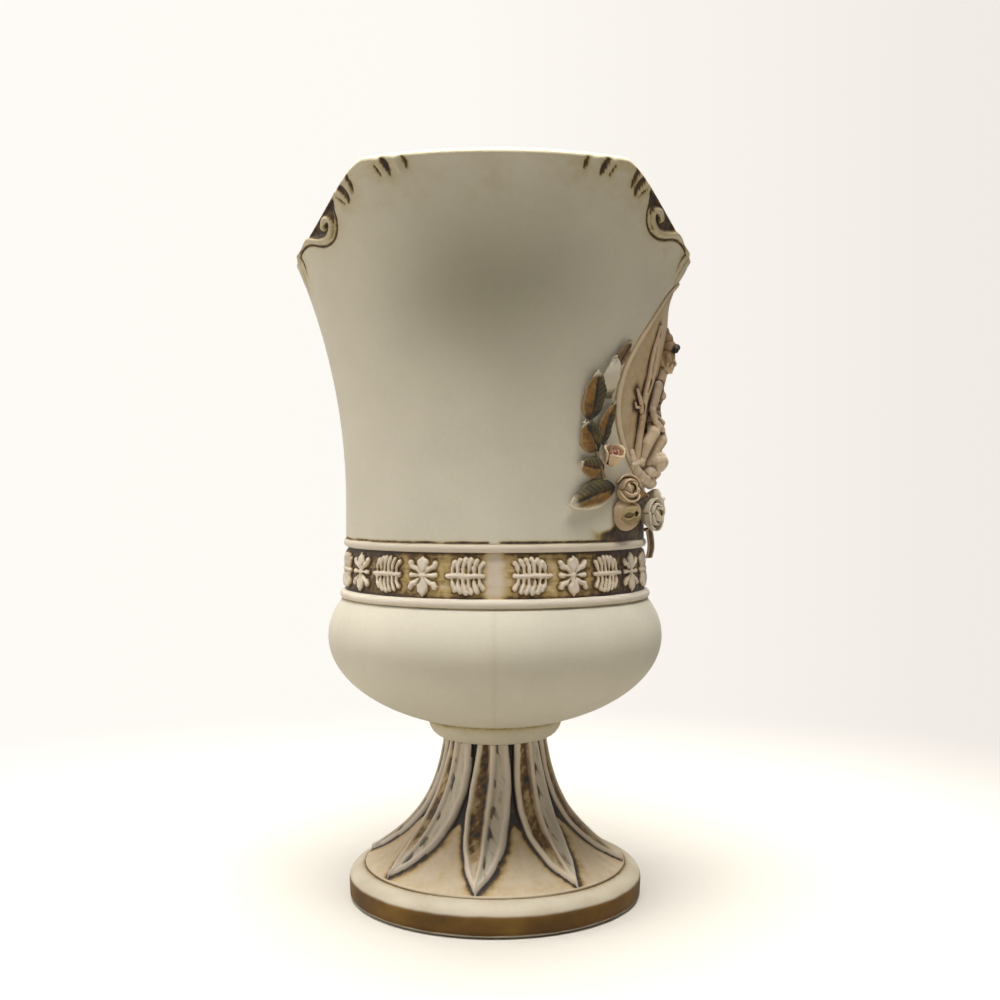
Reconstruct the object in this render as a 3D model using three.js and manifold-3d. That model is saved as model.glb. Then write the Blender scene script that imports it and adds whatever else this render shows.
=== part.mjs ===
// A footed bisque porcelain ewer: a bell-shaped neck with two dipped pouring lips, a frieze
// between two beads, a round bowl, a trumpet foot wrapped in eight acanthus leaves, and on the
// front a round plaque with a seated figure, framed by hand-modelled leaves and roses.
// Millimetres, +Z up, origin at the middle of the foot ring, plaque facing +X.
import * as THREE from "three";
import { mergeVertices } from "three/addons/utils/BufferGeometryUtils.js";
import Module from "manifold-3d";

const wasm = await Module();
wasm.setup();

// Driving dimensions: the foot
const RING_RADIUS = 51.0; // outer edge of the ring it stands on
const RING_WIDTH = 5.4;
const PLINTH_RADIUS = 52.7;
const PLINTH_BAND_HEIGHT = 6.4; // straight gilt edge of the plinth
const PLINTH_HEIGHT = 11.8; // top of its rounded shoulder
const PLINTH_TOP_RADIUS = 46.8;
const TRUMPET_FOOT_RADIUS = 46.2; // where the trumpet leaves the plinth
const TRUMPET_STEM_RADIUS = 14.2; // radius that the trumpet narrows towards
const TRUMPET_FLARE_LENGTH = 17.0; // height in which the flare falls to 37%
const TRUMPET_BASE_Z = 13.0;
const FOOT_HEIGHT = 56.4; // flat joint between the foot and the collar
const FOOT_WALL = 4.6;
const FOOT_ROOF = 7.5; // clay left above the hollow of the foot

// Driving dimensions: the acanthus leaves on the trumpet
const LEAF_COUNT = 8;
const LEAF_HALF_WIDTH = 6.1;
const LEAF_WAIST_HALF_WIDTH = 5.3;
const LEAF_RELIEF = 1.3;
const LEAF_RIB_RELIEF = 2.0;
const LEAF_FIRST_ANGLE = -7; // degrees from the side seam to the nearest leaf's rib
const LEAF_REACH = 0.985; // share of the trumpet's slope that a leaf covers

// Driving dimensions: the collar and the bowl
const COLLAR_LOW_RADIUS = 17.7;
const COLLAR_RADIUS = 24.2;
const COLLAR_HEIGHT = 5.8;
const BOWL_RADIUS = 60.2;
const BOWL_RISE = 31.5; // from the collar's top to the bowl's widest level
const BOWL_FLOOR = 6.5; // clay between the collar's top and the inside

// Driving dimensions: the frieze and its two beads
const BEAD_RADIUS = 1.6;
const BEAD_RISE = 46.6; // from the collar's top to the middle of the lower bead
const FRIEZE_HEIGHT = 15.0;
const FRIEZE_LOW_RADIUS = 53.9;
const FRIEZE_HIGH_RADIUS = 53.0;
const FRIEZE_PAIRS = 5; // palmette and rosette pairs on each half, which ends in a palmette
const FRIEZE_FIRST_ANGLE = 11.5; // degrees from a side seam to its first palmette
const FRIEZE_RELIEF = 1.1;
const PALMETTE_LENGTH = 13.8;
const PALMETTE_HEIGHT = 12.4;
const PALMETTE_BARBS = 5; // pairs of barbs
const ROSETTE_HEIGHT = 13.4;
const ROSETTE_WIDTH = 10.6;

// Driving dimensions: the neck and its dipped rim
const NECK_RADIUS = 53.8;
const NECK_HEIGHT = 120.0; // from the upper bead to the rim's high sides
const NECK_WAIST_RISE = 11.8; // from the upper bead to the neck's narrowest level
const NECK_FLARE = 28.0; // how much wider the neck is at the top
const NECK_FLARE_POWER = 2.05;
const LIP_DROP = 25.6; // how far the pouring lips lie below the rim's high sides
const LIP_SHOULDER_ANGLE = 27.5; // degrees from a side seam to where the dip begins
const LIP_FALL_ANGLE = 23.6; // degrees in which the dip reaches 63% of its depth
const LIP_FALL_POWER = 1.5;
const DIP_LENGTH = 60.6; // how far below the rim its dip still shapes the neck
const WALL = 3.6;

// Driving dimensions: the plaque and the figure
const PLAQUE_CENTRE_Y = -2.0;
const PLAQUE_RISE = 52.8; // from the upper bead to the plaque's middle
const PLAQUE_RADIUS = 38.6;
const PLAQUE_THICKNESS = 1.0;
const PLAQUE_BORDER_WIDTH = 2.6;
const PLAQUE_BORDER_RELIEF = 0.8;
const HEAD_SHARE = 0.228; // height of the figure's head as a share of the plaque's radius

// Driving dimensions: the applied flowers and leaves
const LEAF_THICKNESS = 1.5;
const STEM_WIDTH = 1.3;
const ROSE_DEPTH = 6.4;

const CLEARANCE = 0.34; // slip between an applied piece and its seat
const SINK = 0.7; // how deep a relief starts inside the wall that carries it
const LATHE_STEPS = 36;

const COLLAR_TOP_Z = FOOT_HEIGHT + COLLAR_HEIGHT;
const BOWL_WIDEST_Z = COLLAR_TOP_Z + BOWL_RISE;
// Half height of the ellipse that leads from the bowl's widest level into the collar
const BOWL_HALF_HEIGHT = BOWL_RISE / Math.sqrt(1 - (COLLAR_RADIUS / BOWL_RADIUS) ** 2);
const LOWER_BEAD_Z = COLLAR_TOP_Z + BEAD_RISE;
const LOWER_FIELD_Z = LOWER_BEAD_Z + BEAD_RADIUS;
const UPPER_FIELD_Z = LOWER_FIELD_Z + FRIEZE_HEIGHT;
const FRIEZE_MID_Z = (LOWER_FIELD_Z + UPPER_FIELD_Z) / 2;
const UPPER_BEAD_Z = UPPER_FIELD_Z + BEAD_RADIUS;
const NECK_BASE_Z = UPPER_BEAD_Z + BEAD_RADIUS;
const NECK_WAIST_Z = NECK_BASE_Z + NECK_WAIST_RISE;
const TOTAL_HEIGHT = NECK_BASE_Z + NECK_HEIGHT;
const DIP_BASE_Z = TOTAL_HEIGHT - DIP_LENGTH;
const PLAQUE_CENTRE_Z = NECK_BASE_Z + PLAQUE_RISE;
const PLAQUE_BACK = -PLAQUE_THICKNESS; // the plaque is let into the neck, flush with it
const HEAD_HEIGHT = HEAD_SHARE * PLAQUE_RADIUS;

const radians = THREE.MathUtils.degToRad;
const lerp = THREE.MathUtils.lerp;

// Surfaces that other pieces are seated on

function neckRadius(z) {
  const rise = Math.max(0, (z - NECK_WAIST_Z) / (TOTAL_HEIGHT - NECK_WAIST_Z));
  return NECK_RADIUS + NECK_FLARE * Math.pow(rise, NECK_FLARE_POWER);
}

function friezeRadius(z) {
  const rise = THREE.MathUtils.clamp((z - LOWER_FIELD_Z) / FRIEZE_HEIGHT, 0, 1);
  return lerp(FRIEZE_LOW_RADIUS, FRIEZE_HIGH_RADIUS, rise);
}

function trumpetRadius(z) {
  const flare = TRUMPET_FOOT_RADIUS - TRUMPET_STEM_RADIUS;
  return TRUMPET_STEM_RADIUS + flare * Math.exp((TRUMPET_BASE_Z - z) / TRUMPET_FLARE_LENGTH);
}

// Rim height at an angle in degrees from the +X lip
function rimZ(degreesFromLip) {
  const fromSeam = 90 - Math.abs(90 - Math.abs(90 - Math.abs(degreesFromLip % 180)));
  const fall = Math.max(0, fromSeam - LIP_SHOULDER_ANGLE) / LIP_FALL_ANGLE;
  return TOTAL_HEIGHT - LIP_DROP * (1 - Math.exp(-Math.pow(fall, LIP_FALL_POWER)));
}

// A point on the neck: u along its girth from the +X side, z up, h out from its surface
function onNeck(u, z, h) {
  const base = neckRadius(z);
  const angle = u / base;
  return new THREE.Vector3((base + h) * Math.cos(angle), (base + h) * Math.sin(angle), z);
}

// Solids

function solidOf(geometry) {
  const bare = new THREE.BufferGeometry();
  bare.setAttribute("position", geometry.getAttribute("position").clone());
  if (geometry.index) bare.setIndex(geometry.index.clone());
  const merged = mergeVertices(bare, 1e-3);
  const kept = [];
  const index = merged.index.array;
  for (let i = 0; i < index.length; i += 3) {
    const [a, b, c] = [index[i], index[i + 1], index[i + 2]];
    if (a !== b && b !== c && c !== a) kept.push(a, b, c);
  }
  const vertProperties = new Float32Array(merged.attributes.position.array);
  const made = new wasm.Manifold(
    new wasm.Mesh({ numProp: 3, vertProperties, triVerts: new Uint32Array(kept) }),
  );
  if (made.volume() > 0) return made;
  for (let i = 0; i < kept.length; i += 3) [kept[i + 1], kept[i + 2]] = [kept[i + 2], kept[i + 1]];
  return new wasm.Manifold(
    new wasm.Mesh({ numProp: 3, vertProperties, triVerts: new Uint32Array(kept) }),
  );
}

function geometryOf(solid) {
  const mesh = solid.getMesh();
  const positions = new Float32Array(mesh.numVert * 3);
  for (let i = 0; i < mesh.numVert; i++) {
    const start = i * mesh.numProp;
    positions.set(mesh.vertProperties.subarray(start, start + 3), i * 3);
  }
  const geometry = new THREE.BufferGeometry();
  geometry.setAttribute("position", new THREE.BufferAttribute(positions, 3));
  geometry.setIndex(new THREE.BufferAttribute(mesh.triVerts, 1));
  geometry.computeVertexNormals();
  return geometry;
}

function union(solids) {
  return solids.reduce((whole, piece) => whole.add(piece));
}

// A closed skin between two grids of points of the same size, top outwards
function slab(top, bottom) {
  const rows = top.length;
  const columns = top[0].length;
  const points = [...top.flat(), ...bottom.flat()];
  const index = [];
  const at = (layer, r, c) => layer * rows * columns + r * columns + c;
  const quad = (a, b, c, d) => index.push(a, b, c, a, c, d);
  for (let r = 0; r + 1 < rows; r++) {
    for (let c = 0; c + 1 < columns; c++) {
      quad(at(0, r, c), at(0, r, c + 1), at(0, r + 1, c + 1), at(0, r + 1, c));
      quad(at(1, r, c), at(1, r + 1, c), at(1, r + 1, c + 1), at(1, r, c + 1));
    }
    const last = columns - 1;
    quad(at(0, r, 0), at(0, r + 1, 0), at(1, r + 1, 0), at(1, r, 0));
    quad(at(0, r, last), at(1, r, last), at(1, r + 1, last), at(0, r + 1, last));
  }
  for (let c = 0; c + 1 < columns; c++) {
    const last = rows - 1;
    quad(at(0, 0, c), at(1, 0, c), at(1, 0, c + 1), at(0, 0, c + 1));
    quad(at(0, last, c), at(0, last, c + 1), at(1, last, c + 1), at(1, last, c));
  }
  const geometry = new THREE.BufferGeometry().setFromPoints(points);
  geometry.setIndex(index);
  return solidOf(geometry);
}

// A revolved outline whose first angle lies on the -Y seam
function revolve(points) {
  return new THREE.LatheGeometry(points, LATHE_STEPS).rotateX(Math.PI / 2);
}

function steps(count, make) {
  return Array.from({ length: count + 1 }, (_, i) => make(i / count));
}

// Vessel: neck, frieze, bowl and collar in one casting

function beadOutline(radius, z, from, to, count) {
  return steps(count, (t) => {
    const angle = radians(lerp(from, to, t));
    return new THREE.Vector2(
      radius + BEAD_RADIUS * Math.cos(angle),
      z + BEAD_RADIUS * Math.sin(angle),
    );
  });
}

function bowlOutline(radius, halfHeight, fromZ, toZ, count) {
  const from = Math.asin((fromZ - BOWL_WIDEST_Z) / halfHeight);
  const to = Math.asin((toZ - BOWL_WIDEST_Z) / halfHeight);
  return steps(count, (t) => {
    const angle = lerp(from, to, t);
    return new THREE.Vector2(
      radius * Math.cos(angle),
      BOWL_WIDEST_Z + halfHeight * Math.sin(angle),
    );
  });
}

function vesselOutline() {
  const collar = steps(3, (t) => {
    const angle = (t * Math.PI) / 2;
    const swell = COLLAR_RADIUS - COLLAR_LOW_RADIUS;
    return new THREE.Vector2(
      COLLAR_LOW_RADIUS + swell * Math.sin(angle),
      COLLAR_TOP_Z - COLLAR_HEIGHT * Math.cos(angle),
    );
  });
  const bowl = bowlOutline(BOWL_RADIUS, BOWL_HALF_HEIGHT, COLLAR_TOP_Z + 0.5, LOWER_BEAD_Z - 1.4, 7);
  const neck = steps(6, (t) => {
    const z = lerp(NECK_BASE_Z + 0.2, TOTAL_HEIGHT - 1.2, t);
    return new THREE.Vector2(neckRadius(z), z);
  });
  const edge = new THREE.Vector2(neckRadius(TOTAL_HEIGHT) - WALL / 2, TOTAL_HEIGHT);
  const inside = steps(4, (t) => {
    const z = lerp(TOTAL_HEIGHT - 1.2, LOWER_BEAD_Z, t);
    return new THREE.Vector2(neckRadius(z) - WALL, z);
  });
  const floorZ = COLLAR_TOP_Z + BOWL_FLOOR;
  const hollow = bowlOutline(
    BOWL_RADIUS - WALL,
    BOWL_HALF_HEIGHT - WALL,
    floorZ,
    LOWER_BEAD_Z - 5,
    5,
  );
  return [
    new THREE.Vector2(0, FOOT_HEIGHT),
    ...collar,
    ...bowl,
    ...beadOutline(FRIEZE_LOW_RADIUS + 0.4, LOWER_BEAD_Z, -50, 70, 2),
    new THREE.Vector2(FRIEZE_LOW_RADIUS, LOWER_FIELD_Z + 0.3),
    new THREE.Vector2(FRIEZE_HIGH_RADIUS, UPPER_FIELD_Z - 0.3),
    ...beadOutline(FRIEZE_HIGH_RADIUS, UPPER_BEAD_Z, -70, 50, 2),
    ...neck,
    edge,
    ...inside,
    ...hollow.reverse(),
    new THREE.Vector2(0, floorZ),
  ];
}

// Lets the rim sink at the two lips; the outer skin keeps to neckRadius as it does
function dipRim(geometry) {
  const position = geometry.getAttribute("position");
  const point = new THREE.Vector3();
  for (let i = 0; i < position.count; i++) {
    point.fromBufferAttribute(position, i);
    if (point.z <= DIP_BASE_Z) continue;
    const radius = Math.hypot(point.x, point.y);
    const angle = Math.atan2(point.y, point.x);
    const top = rimZ(THREE.MathUtils.radToDeg(angle));
    const share = (point.z - DIP_BASE_Z) / (TOTAL_HEIGHT - DIP_BASE_Z);
    const z = DIP_BASE_Z + share * (top - DIP_BASE_Z);
    const moved = radius + neckRadius(z) - neckRadius(point.z);
    position.setXYZ(i, moved * Math.cos(angle), moved * Math.sin(angle), z);
  }
  return geometry;
}

// Frieze ornaments are drawn flat and wrapped onto the band

function wrapOnFrieze(shape, degrees) {
  const flat = new THREE.ExtrudeGeometry(shape, {
    depth: FRIEZE_RELIEF + SINK,
    bevelEnabled: false,
    curveSegments: 2,
  });
  const position = flat.getAttribute("position");
  for (let i = 0; i < position.count; i++) {
    const z = FRIEZE_MID_Z + position.getY(i);
    const radius = friezeRadius(z) - SINK + position.getZ(i);
    const angle = radians(degrees) + position.getX(i) / FRIEZE_LOW_RADIUS;
    position.setXYZ(i, radius * Math.cos(angle), radius * Math.sin(angle), z);
  }
  return solidOf(flat);
}

// A lying palmette: a stem along x with a knob at its end, and barbs that sweep towards +x
function palmetteShape(facing) {
  const stem = 0.75;
  const pitch = (PALMETTE_LENGTH - 3.2) / PALMETTE_BARBS;
  const start = -PALMETTE_LENGTH / 2 + 2.4;
  const sweep = 1.5;
  const upper = [];
  for (let i = 0; i < PALMETTE_BARBS; i++) {
    const root = start + i * pitch;
    const middle = (i + 0.5) / PALMETTE_BARBS;
    const reach = (PALMETTE_HEIGHT / 2) * (0.72 + 0.28 * Math.sin(middle * Math.PI));
    upper.push([root, stem], [root + 0.5 * pitch + sweep, reach]);
  }
  const knob = -PALMETTE_LENGTH / 2;
  const tip = PALMETTE_LENGTH / 2;
  const outline = [
    [knob, 0],
    [knob + 0.9, 1.15],
    ...upper,
    [tip, 0],
    ...upper.map(([x, y]) => [x, -y]).reverse(),
    [knob + 0.9, -1.15],
  ];
  return new THREE.Shape(outline.map(([x, y]) => new THREE.Vector2(x * facing, y)));
}

// An eight-petalled rosette with large lozenges above and below
function rosetteShape() {
  const outline = [];
  for (let i = 0; i < 8; i++) {
    const angle = (i * Math.PI) / 4;
    const upright = i % 4 === 2;
    const reach = upright ? ROSETTE_HEIGHT / 2 : ROSETTE_WIDTH / 2;
    const shoulder = reach * 0.62;
    const turn = (x, y) =>
      new THREE.Vector2(
        x * Math.cos(angle) - y * Math.sin(angle),
        x * Math.sin(angle) + y * Math.cos(angle),
      );
    const valley = 2.2;
    const half = 2.3;
    if (upright) outline.push(turn(shoulder, -half));
    outline.push(turn(reach, 0));
    if (upright) outline.push(turn(shoulder, half));
    const between = angle + Math.PI / 8;
    outline.push(new THREE.Vector2(valley * Math.cos(between), valley * Math.sin(between)));
  }
  return new THREE.Shape(outline);
}

function friezeOrnaments() {
  const pieces = [];
  const pitch = (180 - 2 * FRIEZE_FIRST_ANGLE) / (2 * FRIEZE_PAIRS);
  for (const side of [-1, 1]) {
    for (let i = 0; i <= 2 * FRIEZE_PAIRS; i++) {
      const degrees = -90 + side * (FRIEZE_FIRST_ANGLE + i * pitch);
      const shape = i % 2 ? rosetteShape() : palmetteShape(-side);
      pieces.push(wrapOnFrieze(shape, degrees));
    }
  }
  return pieces;
}

// Raised strap that follows a curve of (degrees from a lip, height) on the neck
function reliefStrap(points, width, relief, count) {
  const curve = new THREE.CatmullRomCurve3(
    points.map(([degrees, z]) => new THREE.Vector3(radians(degrees) * neckRadius(z), z, 0)),
  );
  const top = [];
  const bottom = [];
  for (let i = 0; i <= count; i++) {
    const centre = curve.getPointAt(i / count);
    const tangent = curve.getTangentAt(i / count);
    const taper = Math.sin(Math.PI * lerp(0.14, 0.8, i / count));
    const half = (width / 2) * taper;
    const across = [-half, 0, half];
    const place = (s, h) => {
      const z = centre.y + tangent.x * s;
      const angle = (centre.x - tangent.y * s) / neckRadius(centre.y);
      const radius = neckRadius(z) + h;
      return new THREE.Vector3(radius * Math.cos(angle), radius * Math.sin(angle), z);
    };
    top.push(across.map((s, k) => place(s, k === 1 ? relief * taper : relief * 0.45 * taper)));
    bottom.push(across.map((s) => place(s, -SINK)));
  }
  return slab(top, bottom);
}

// Four scrolls, one on each side of each lip, with two feather strokes above them
function rimScrolls() {
  const scroll = [
    [19, 2.2],
    [28, 3.2],
    [38, 6.6],
    [44, 7.0],
    [44.5, 4.4],
    [41, 3.3],
    [39, 5.0],
  ];
  const feathers = [
    [
      [47, 3.0],
      [50, 5.5],
      [53, 9.5],
    ],
    [
      [51, 2.4],
      [54, 4.6],
      [57, 8.2],
    ],
  ];
  const pieces = [];
  for (const lip of [0, 180]) {
    for (const side of [-1, 1]) {
      const onRim = ([degrees, drop]) => [lip + side * degrees, rimZ(degrees) - drop];
      pieces.push(reliefStrap(scroll.map(onRim), 2.6, 1.5, 8));
      for (const stroke of feathers) pieces.push(reliefStrap(stroke.map(onRim), 2.2, 1.2, 3));
    }
  }
  return pieces;
}

function vessel() {
  const casting = solidOf(dipRim(revolve(vesselOutline())));
  const pocket = plaqueBar(CLEARANCE).subtract(neckCore(PLAQUE_BACK - CLEARANCE));
  return union([casting, ...friezeOrnaments(), ...rimScrolls()]).subtract(pocket);
}

// Pedestal foot: plinth, trumpet and acanthus leaves in one casting

class TrumpetSlope extends THREE.Curve {
  getPoint(t, target = new THREE.Vector3()) {
    const z = lerp(FOOT_HEIGHT - 0.4, TRUMPET_BASE_Z, t);
    return target.set(trumpetRadius(z), 0, z);
  }
}

function footOutline() {
  const shoulder = steps(2, (t) => {
    const angle = (t * Math.PI) / 2;
    return new THREE.Vector2(
      PLINTH_TOP_RADIUS + (PLINTH_RADIUS - PLINTH_TOP_RADIUS) * Math.cos(angle),
      PLINTH_BAND_HEIGHT + (PLINTH_HEIGHT - PLINTH_BAND_HEIGHT) * Math.sin(angle),
    );
  });
  const slope = new TrumpetSlope();
  const trumpet = steps(6, (t) => {
    const point = slope.getPointAt(1 - t);
    return new THREE.Vector2(point.x, point.z);
  });
  const roofZ = FOOT_HEIGHT - FOOT_ROOF;
  const hollow = steps(3, (t) => {
    const z = lerp(roofZ, TRUMPET_BASE_Z, t);
    return new THREE.Vector2(trumpetRadius(z) - FOOT_WALL, z);
  });
  const ringInside = RING_RADIUS - RING_WIDTH;
  return [
    new THREE.Vector2(0, roofZ),
    ...hollow,
    new THREE.Vector2(ringInside, PLINTH_BAND_HEIGHT),
    new THREE.Vector2(ringInside, 0),
    new THREE.Vector2(RING_RADIUS, 0),
    new THREE.Vector2(PLINTH_RADIUS, 1.0),
    ...shoulder,
    ...trumpet,
    new THREE.Vector2(trumpetRadius(FOOT_HEIGHT), FOOT_HEIGHT),
    new THREE.Vector2(0, FOOT_HEIGHT),
  ].reverse();
}

// Half width of an acanthus leaf at a share of its length from the collar
function acanthusHalfWidth(t) {
  const point = 0.72;
  const waist = Math.sin(Math.PI * Math.min(1, t / point));
  const belly = lerp(LEAF_HALF_WIDTH, LEAF_WAIST_HALF_WIDTH, waist);
  if (t < point) return belly;
  const past = (t - point) / (1 - point);
  return Math.max(0.25, belly * Math.sqrt(1 - past * past));
}

function acanthusLeaf(degrees) {
  const slope = new TrumpetSlope();
  const across = [-1, -0.3, 0, 0.3, 1];
  const groove = LEAF_RELIEF * 0.75;
  const height = [LEAF_RELIEF, groove, LEAF_RIB_RELIEF, groove, LEAF_RELIEF];
  const top = [];
  const bottom = [];
  const rows = 6;
  for (let i = 0; i <= rows; i++) {
    const t = i / rows;
    const point = slope.getPointAt(t * LEAF_REACH);
    const tangent = slope.getTangentAt(t * LEAF_REACH);
    const normal = new THREE.Vector3(-tangent.z, 0, tangent.x);
    const half = acanthusHalfWidth(t);
    const place = (share, h) => {
      const at = point.clone().addScaledVector(normal, h);
      const angle = radians(degrees) + (share * half) / point.x;
      return new THREE.Vector3(at.x * Math.cos(angle), at.x * Math.sin(angle), at.z);
    };
    top.push(across.map((share, k) => place(share, height[k])));
    bottom.push(across.map((share) => place(share, -SINK)));
  }
  return slab(top, bottom);
}

function pedestalFoot() {
  const casting = solidOf(revolve(footOutline()));
  const leaves = [];
  for (let i = 0; i < LEAF_COUNT; i++) {
    leaves.push(acanthusLeaf(-90 + LEAF_FIRST_ANGLE + (i * 360) / LEAF_COUNT));
  }
  const above = slab(
    [
      [new THREE.Vector3(-80, -80, 90), new THREE.Vector3(80, -80, 90)],
      [new THREE.Vector3(-80, 80, 90), new THREE.Vector3(80, 80, 90)],
    ],
    [
      [new THREE.Vector3(-80, -80, FOOT_HEIGHT), new THREE.Vector3(80, -80, FOOT_HEIGHT)],
      [new THREE.Vector3(-80, 80, FOOT_HEIGHT), new THREE.Vector3(80, 80, FOOT_HEIGHT)],
    ],
  );
  return union([casting, ...leaves]).subtract(above);
}

// Plaque: a thin round tile that follows the neck and fills its pocket, with a raised border

// All that lies below a height over the neck, with the neck's own facets
function neckCore(height) {
  const top = PLAQUE_CENTRE_Z + PLAQUE_RADIUS + 6;
  const rows = steps(7, (t) => {
    const z = lerp(NECK_BASE_Z, top, t);
    return new THREE.Vector2(neckRadius(z) + height, z);
  });
  return solidOf(revolve([new THREE.Vector2(0, NECK_BASE_Z), ...rows, new THREE.Vector2(0, top)]));
}

function neckShell(from, to) {
  return neckCore(to).subtract(neckCore(from));
}

// A round bar along +X that is wider than the plaque by a margin
function plaqueBar(margin) {
  const bar = new THREE.CylinderGeometry(PLAQUE_RADIUS + margin, PLAQUE_RADIUS + margin, 90, 28);
  bar.rotateZ(Math.PI / 2).translate(50, PLAQUE_CENTRE_Y, PLAQUE_CENTRE_Z);
  return solidOf(bar);
}

function plaque() {
  const tile = neckShell(PLAQUE_BACK, 0).intersect(plaqueBar(0));
  const ring = plaqueBar(0).subtract(plaqueBar(-PLAQUE_BORDER_WIDTH));
  const border = neckShell(PLAQUE_BACK, PLAQUE_BORDER_RELIEF).intersect(ring);
  return tile.add(border);
}

// What a piece that is luted to the plaque has to leave free
function plaqueSeat() {
  const ring = plaqueBar(CLEARANCE).subtract(plaqueBar(-PLAQUE_BORDER_WIDTH - CLEARANCE));
  const border = neckCore(PLAQUE_BORDER_RELIEF + CLEARANCE).intersect(ring);
  return neckCore(CLEARANCE).add(border);
}

// A place on the plaque, in shares of its radius from its middle
function onPlaque([along, up]) {
  return [PLAQUE_CENTRE_Y + along * PLAQUE_RADIUS, PLAQUE_CENTRE_Z + up * PLAQUE_RADIUS];
}

function plaqueShares(shares) {
  return shares.map((share) => share * PLAQUE_RADIUS);
}

// Figure: seated in relief, its limbs swelling from joint to joint

function limb(from, to, startRadius, endRadius) {
  const start = onNeck(...from);
  const end = onNeck(...to);
  const axis = end.clone().sub(start);
  const length = axis.length();
  const outline = [
    new THREE.Vector2(0, -startRadius * 0.8),
    new THREE.Vector2(startRadius, -0.1 * startRadius),
    new THREE.Vector2(lerp(startRadius, endRadius, 0.45) * 1.08, 0.5 * length),
    new THREE.Vector2(endRadius, length + 0.1 * endRadius),
    new THREE.Vector2(0, length + endRadius * 0.8),
  ];
  const geometry = new THREE.LatheGeometry(outline, 5);
  const turn = new THREE.Quaternion().setFromUnitVectors(
    new THREE.Vector3(0, 1, 0),
    axis.normalize(),
  );
  geometry.applyQuaternion(turn).translate(start.x, start.y, start.z);
  return solidOf(geometry);
}

// An egg shape set on the neck: half sizes along the girth, upwards and outwards
function egg(centre, halfSizes, lean = 0, detail = 7) {
  const [along, up, out] = halfSizes;
  const geometry = new THREE.SphereGeometry(1, detail, Math.round(detail * 0.7));
  geometry.scale(out, along, up);
  geometry.rotateX(radians(lean));
  const place = onNeck(...centre);
  geometry.rotateZ(Math.atan2(place.y, place.x)).translate(place.x, place.y, place.z);
  return solidOf(geometry);
}

// Every limb may be grown by a margin, to cut the seat that another piece gives the figure.
// Places and sizes are in heads, from the middle of the head: along the girth, up and out.
function figure(grown = 0) {
  const [headU, headZ] = onPlaque([-0.2, 0.249]);
  const at = ([along, up, out]) => [
    headU + along * HEAD_HEIGHT,
    headZ + up * HEAD_HEIGHT,
    out * HEAD_HEIGHT,
  ];
  const part = (centre, halfSizes, lean, detail) =>
    egg(at(centre), halfSizes.map((size) => size * HEAD_HEIGHT + grown), lean, detail);
  const bone = (from, to, startRadius, endRadius) =>
    limb(at(from), at(to), startRadius * HEAD_HEIGHT + grown, endRadius * HEAD_HEIGHT + grown);
  const pieces = [
    part([0, 0, 0.25], [0.36, 0.5, 0.42]),
    part([0.045, 0.273, 0.295], [0.45, 0.42, 0.47]),
    part([-0.045, 0.341, 0.602], [0.205, 0.17, 0.16], 0, 5),
    bone([0, -0.227, 0.182], [-0.091, -0.95, 0.136], 0.193, 0.239),
    part([-0.136, -1.611, 0.102], [0.636, 0.95, 0.375], 6, 9),
    part([-0.227, -2.5, 0.159], [0.727, 0.523, 0.398]),
  ];
  const joints = {
    nearShoulder: [-0.545, -1.064, 0.159],
    nearElbow: [-1.159, -1.977, 0.227],
    nearHand: [-0.977, -2.773, 0.5],
    farShoulder: [0.318, -1.064, 0.159],
    farElbow: [1.068, -2.045, 0.205],
    farHand: [0.955, -3.068, 0.25],
    nearHip: [-0.409, -2.5, 0.205],
    nearKnee: [-1.136, -2.909, 0.386],
    nearAnkle: [-1.545, -3.977, 0.182],
    nearToes: [-2.443, -4.159, 0.182],
    farHip: [0.182, -2.545, 0.227],
    farKnee: [-0.114, -3.182, 0.523],
    farAnkle: [-0.75, -4.091, 0.205],
  };
  pieces.push(
    bone(joints.nearShoulder, joints.nearElbow, 0.216, 0.17),
    bone(joints.nearElbow, joints.nearHand, 0.17, 0.125),
    bone(joints.farShoulder, joints.farElbow, 0.216, 0.17),
    bone(joints.farElbow, joints.farHand, 0.17, 0.125),
    bone(joints.nearHip, joints.nearKnee, 0.352, 0.273),
    bone(joints.nearKnee, joints.nearAnkle, 0.273, 0.159),
    bone(joints.nearAnkle, joints.nearToes, 0.17, 0.125),
    bone(joints.farHip, joints.farKnee, 0.364, 0.284),
    bone(joints.farKnee, joints.farAnkle, 0.273, 0.159),
  );
  return union(pieces).subtract(plaqueSeat());
}

// A strip along the neck with a rounded back: used for trunks, twigs and rocks
function ridge(path, halfWidths, heights, base, count) {
  const curve = new THREE.CatmullRomCurve3(path.map(([u, z]) => new THREE.Vector3(u, z, 0)));
  const across = [-1, 0, 1];
  const crown = [0.35, 1, 0.35];
  const top = [];
  const bottom = [];
  const read = (list, t) => {
    const at = t * (list.length - 1);
    const low = Math.min(Math.floor(at), list.length - 2);
    return lerp(list[low], list[low + 1], at - low);
  };
  for (let i = 0; i <= count; i++) {
    const t = i / count;
    const centre = curve.getPointAt(t);
    const tangent = curve.getTangentAt(t);
    const half = read(halfWidths, t);
    const rise = read(heights, t);
    const place = (share, h) =>
      onNeck(centre.x - tangent.y * share * half, centre.y + tangent.x * share * half, h);
    top.push(across.map((share, k) => place(share, base + rise * crown[k])));
    bottom.push(across.map((share) => place(share, base)));
  }
  return slab(top, bottom);
}

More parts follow.
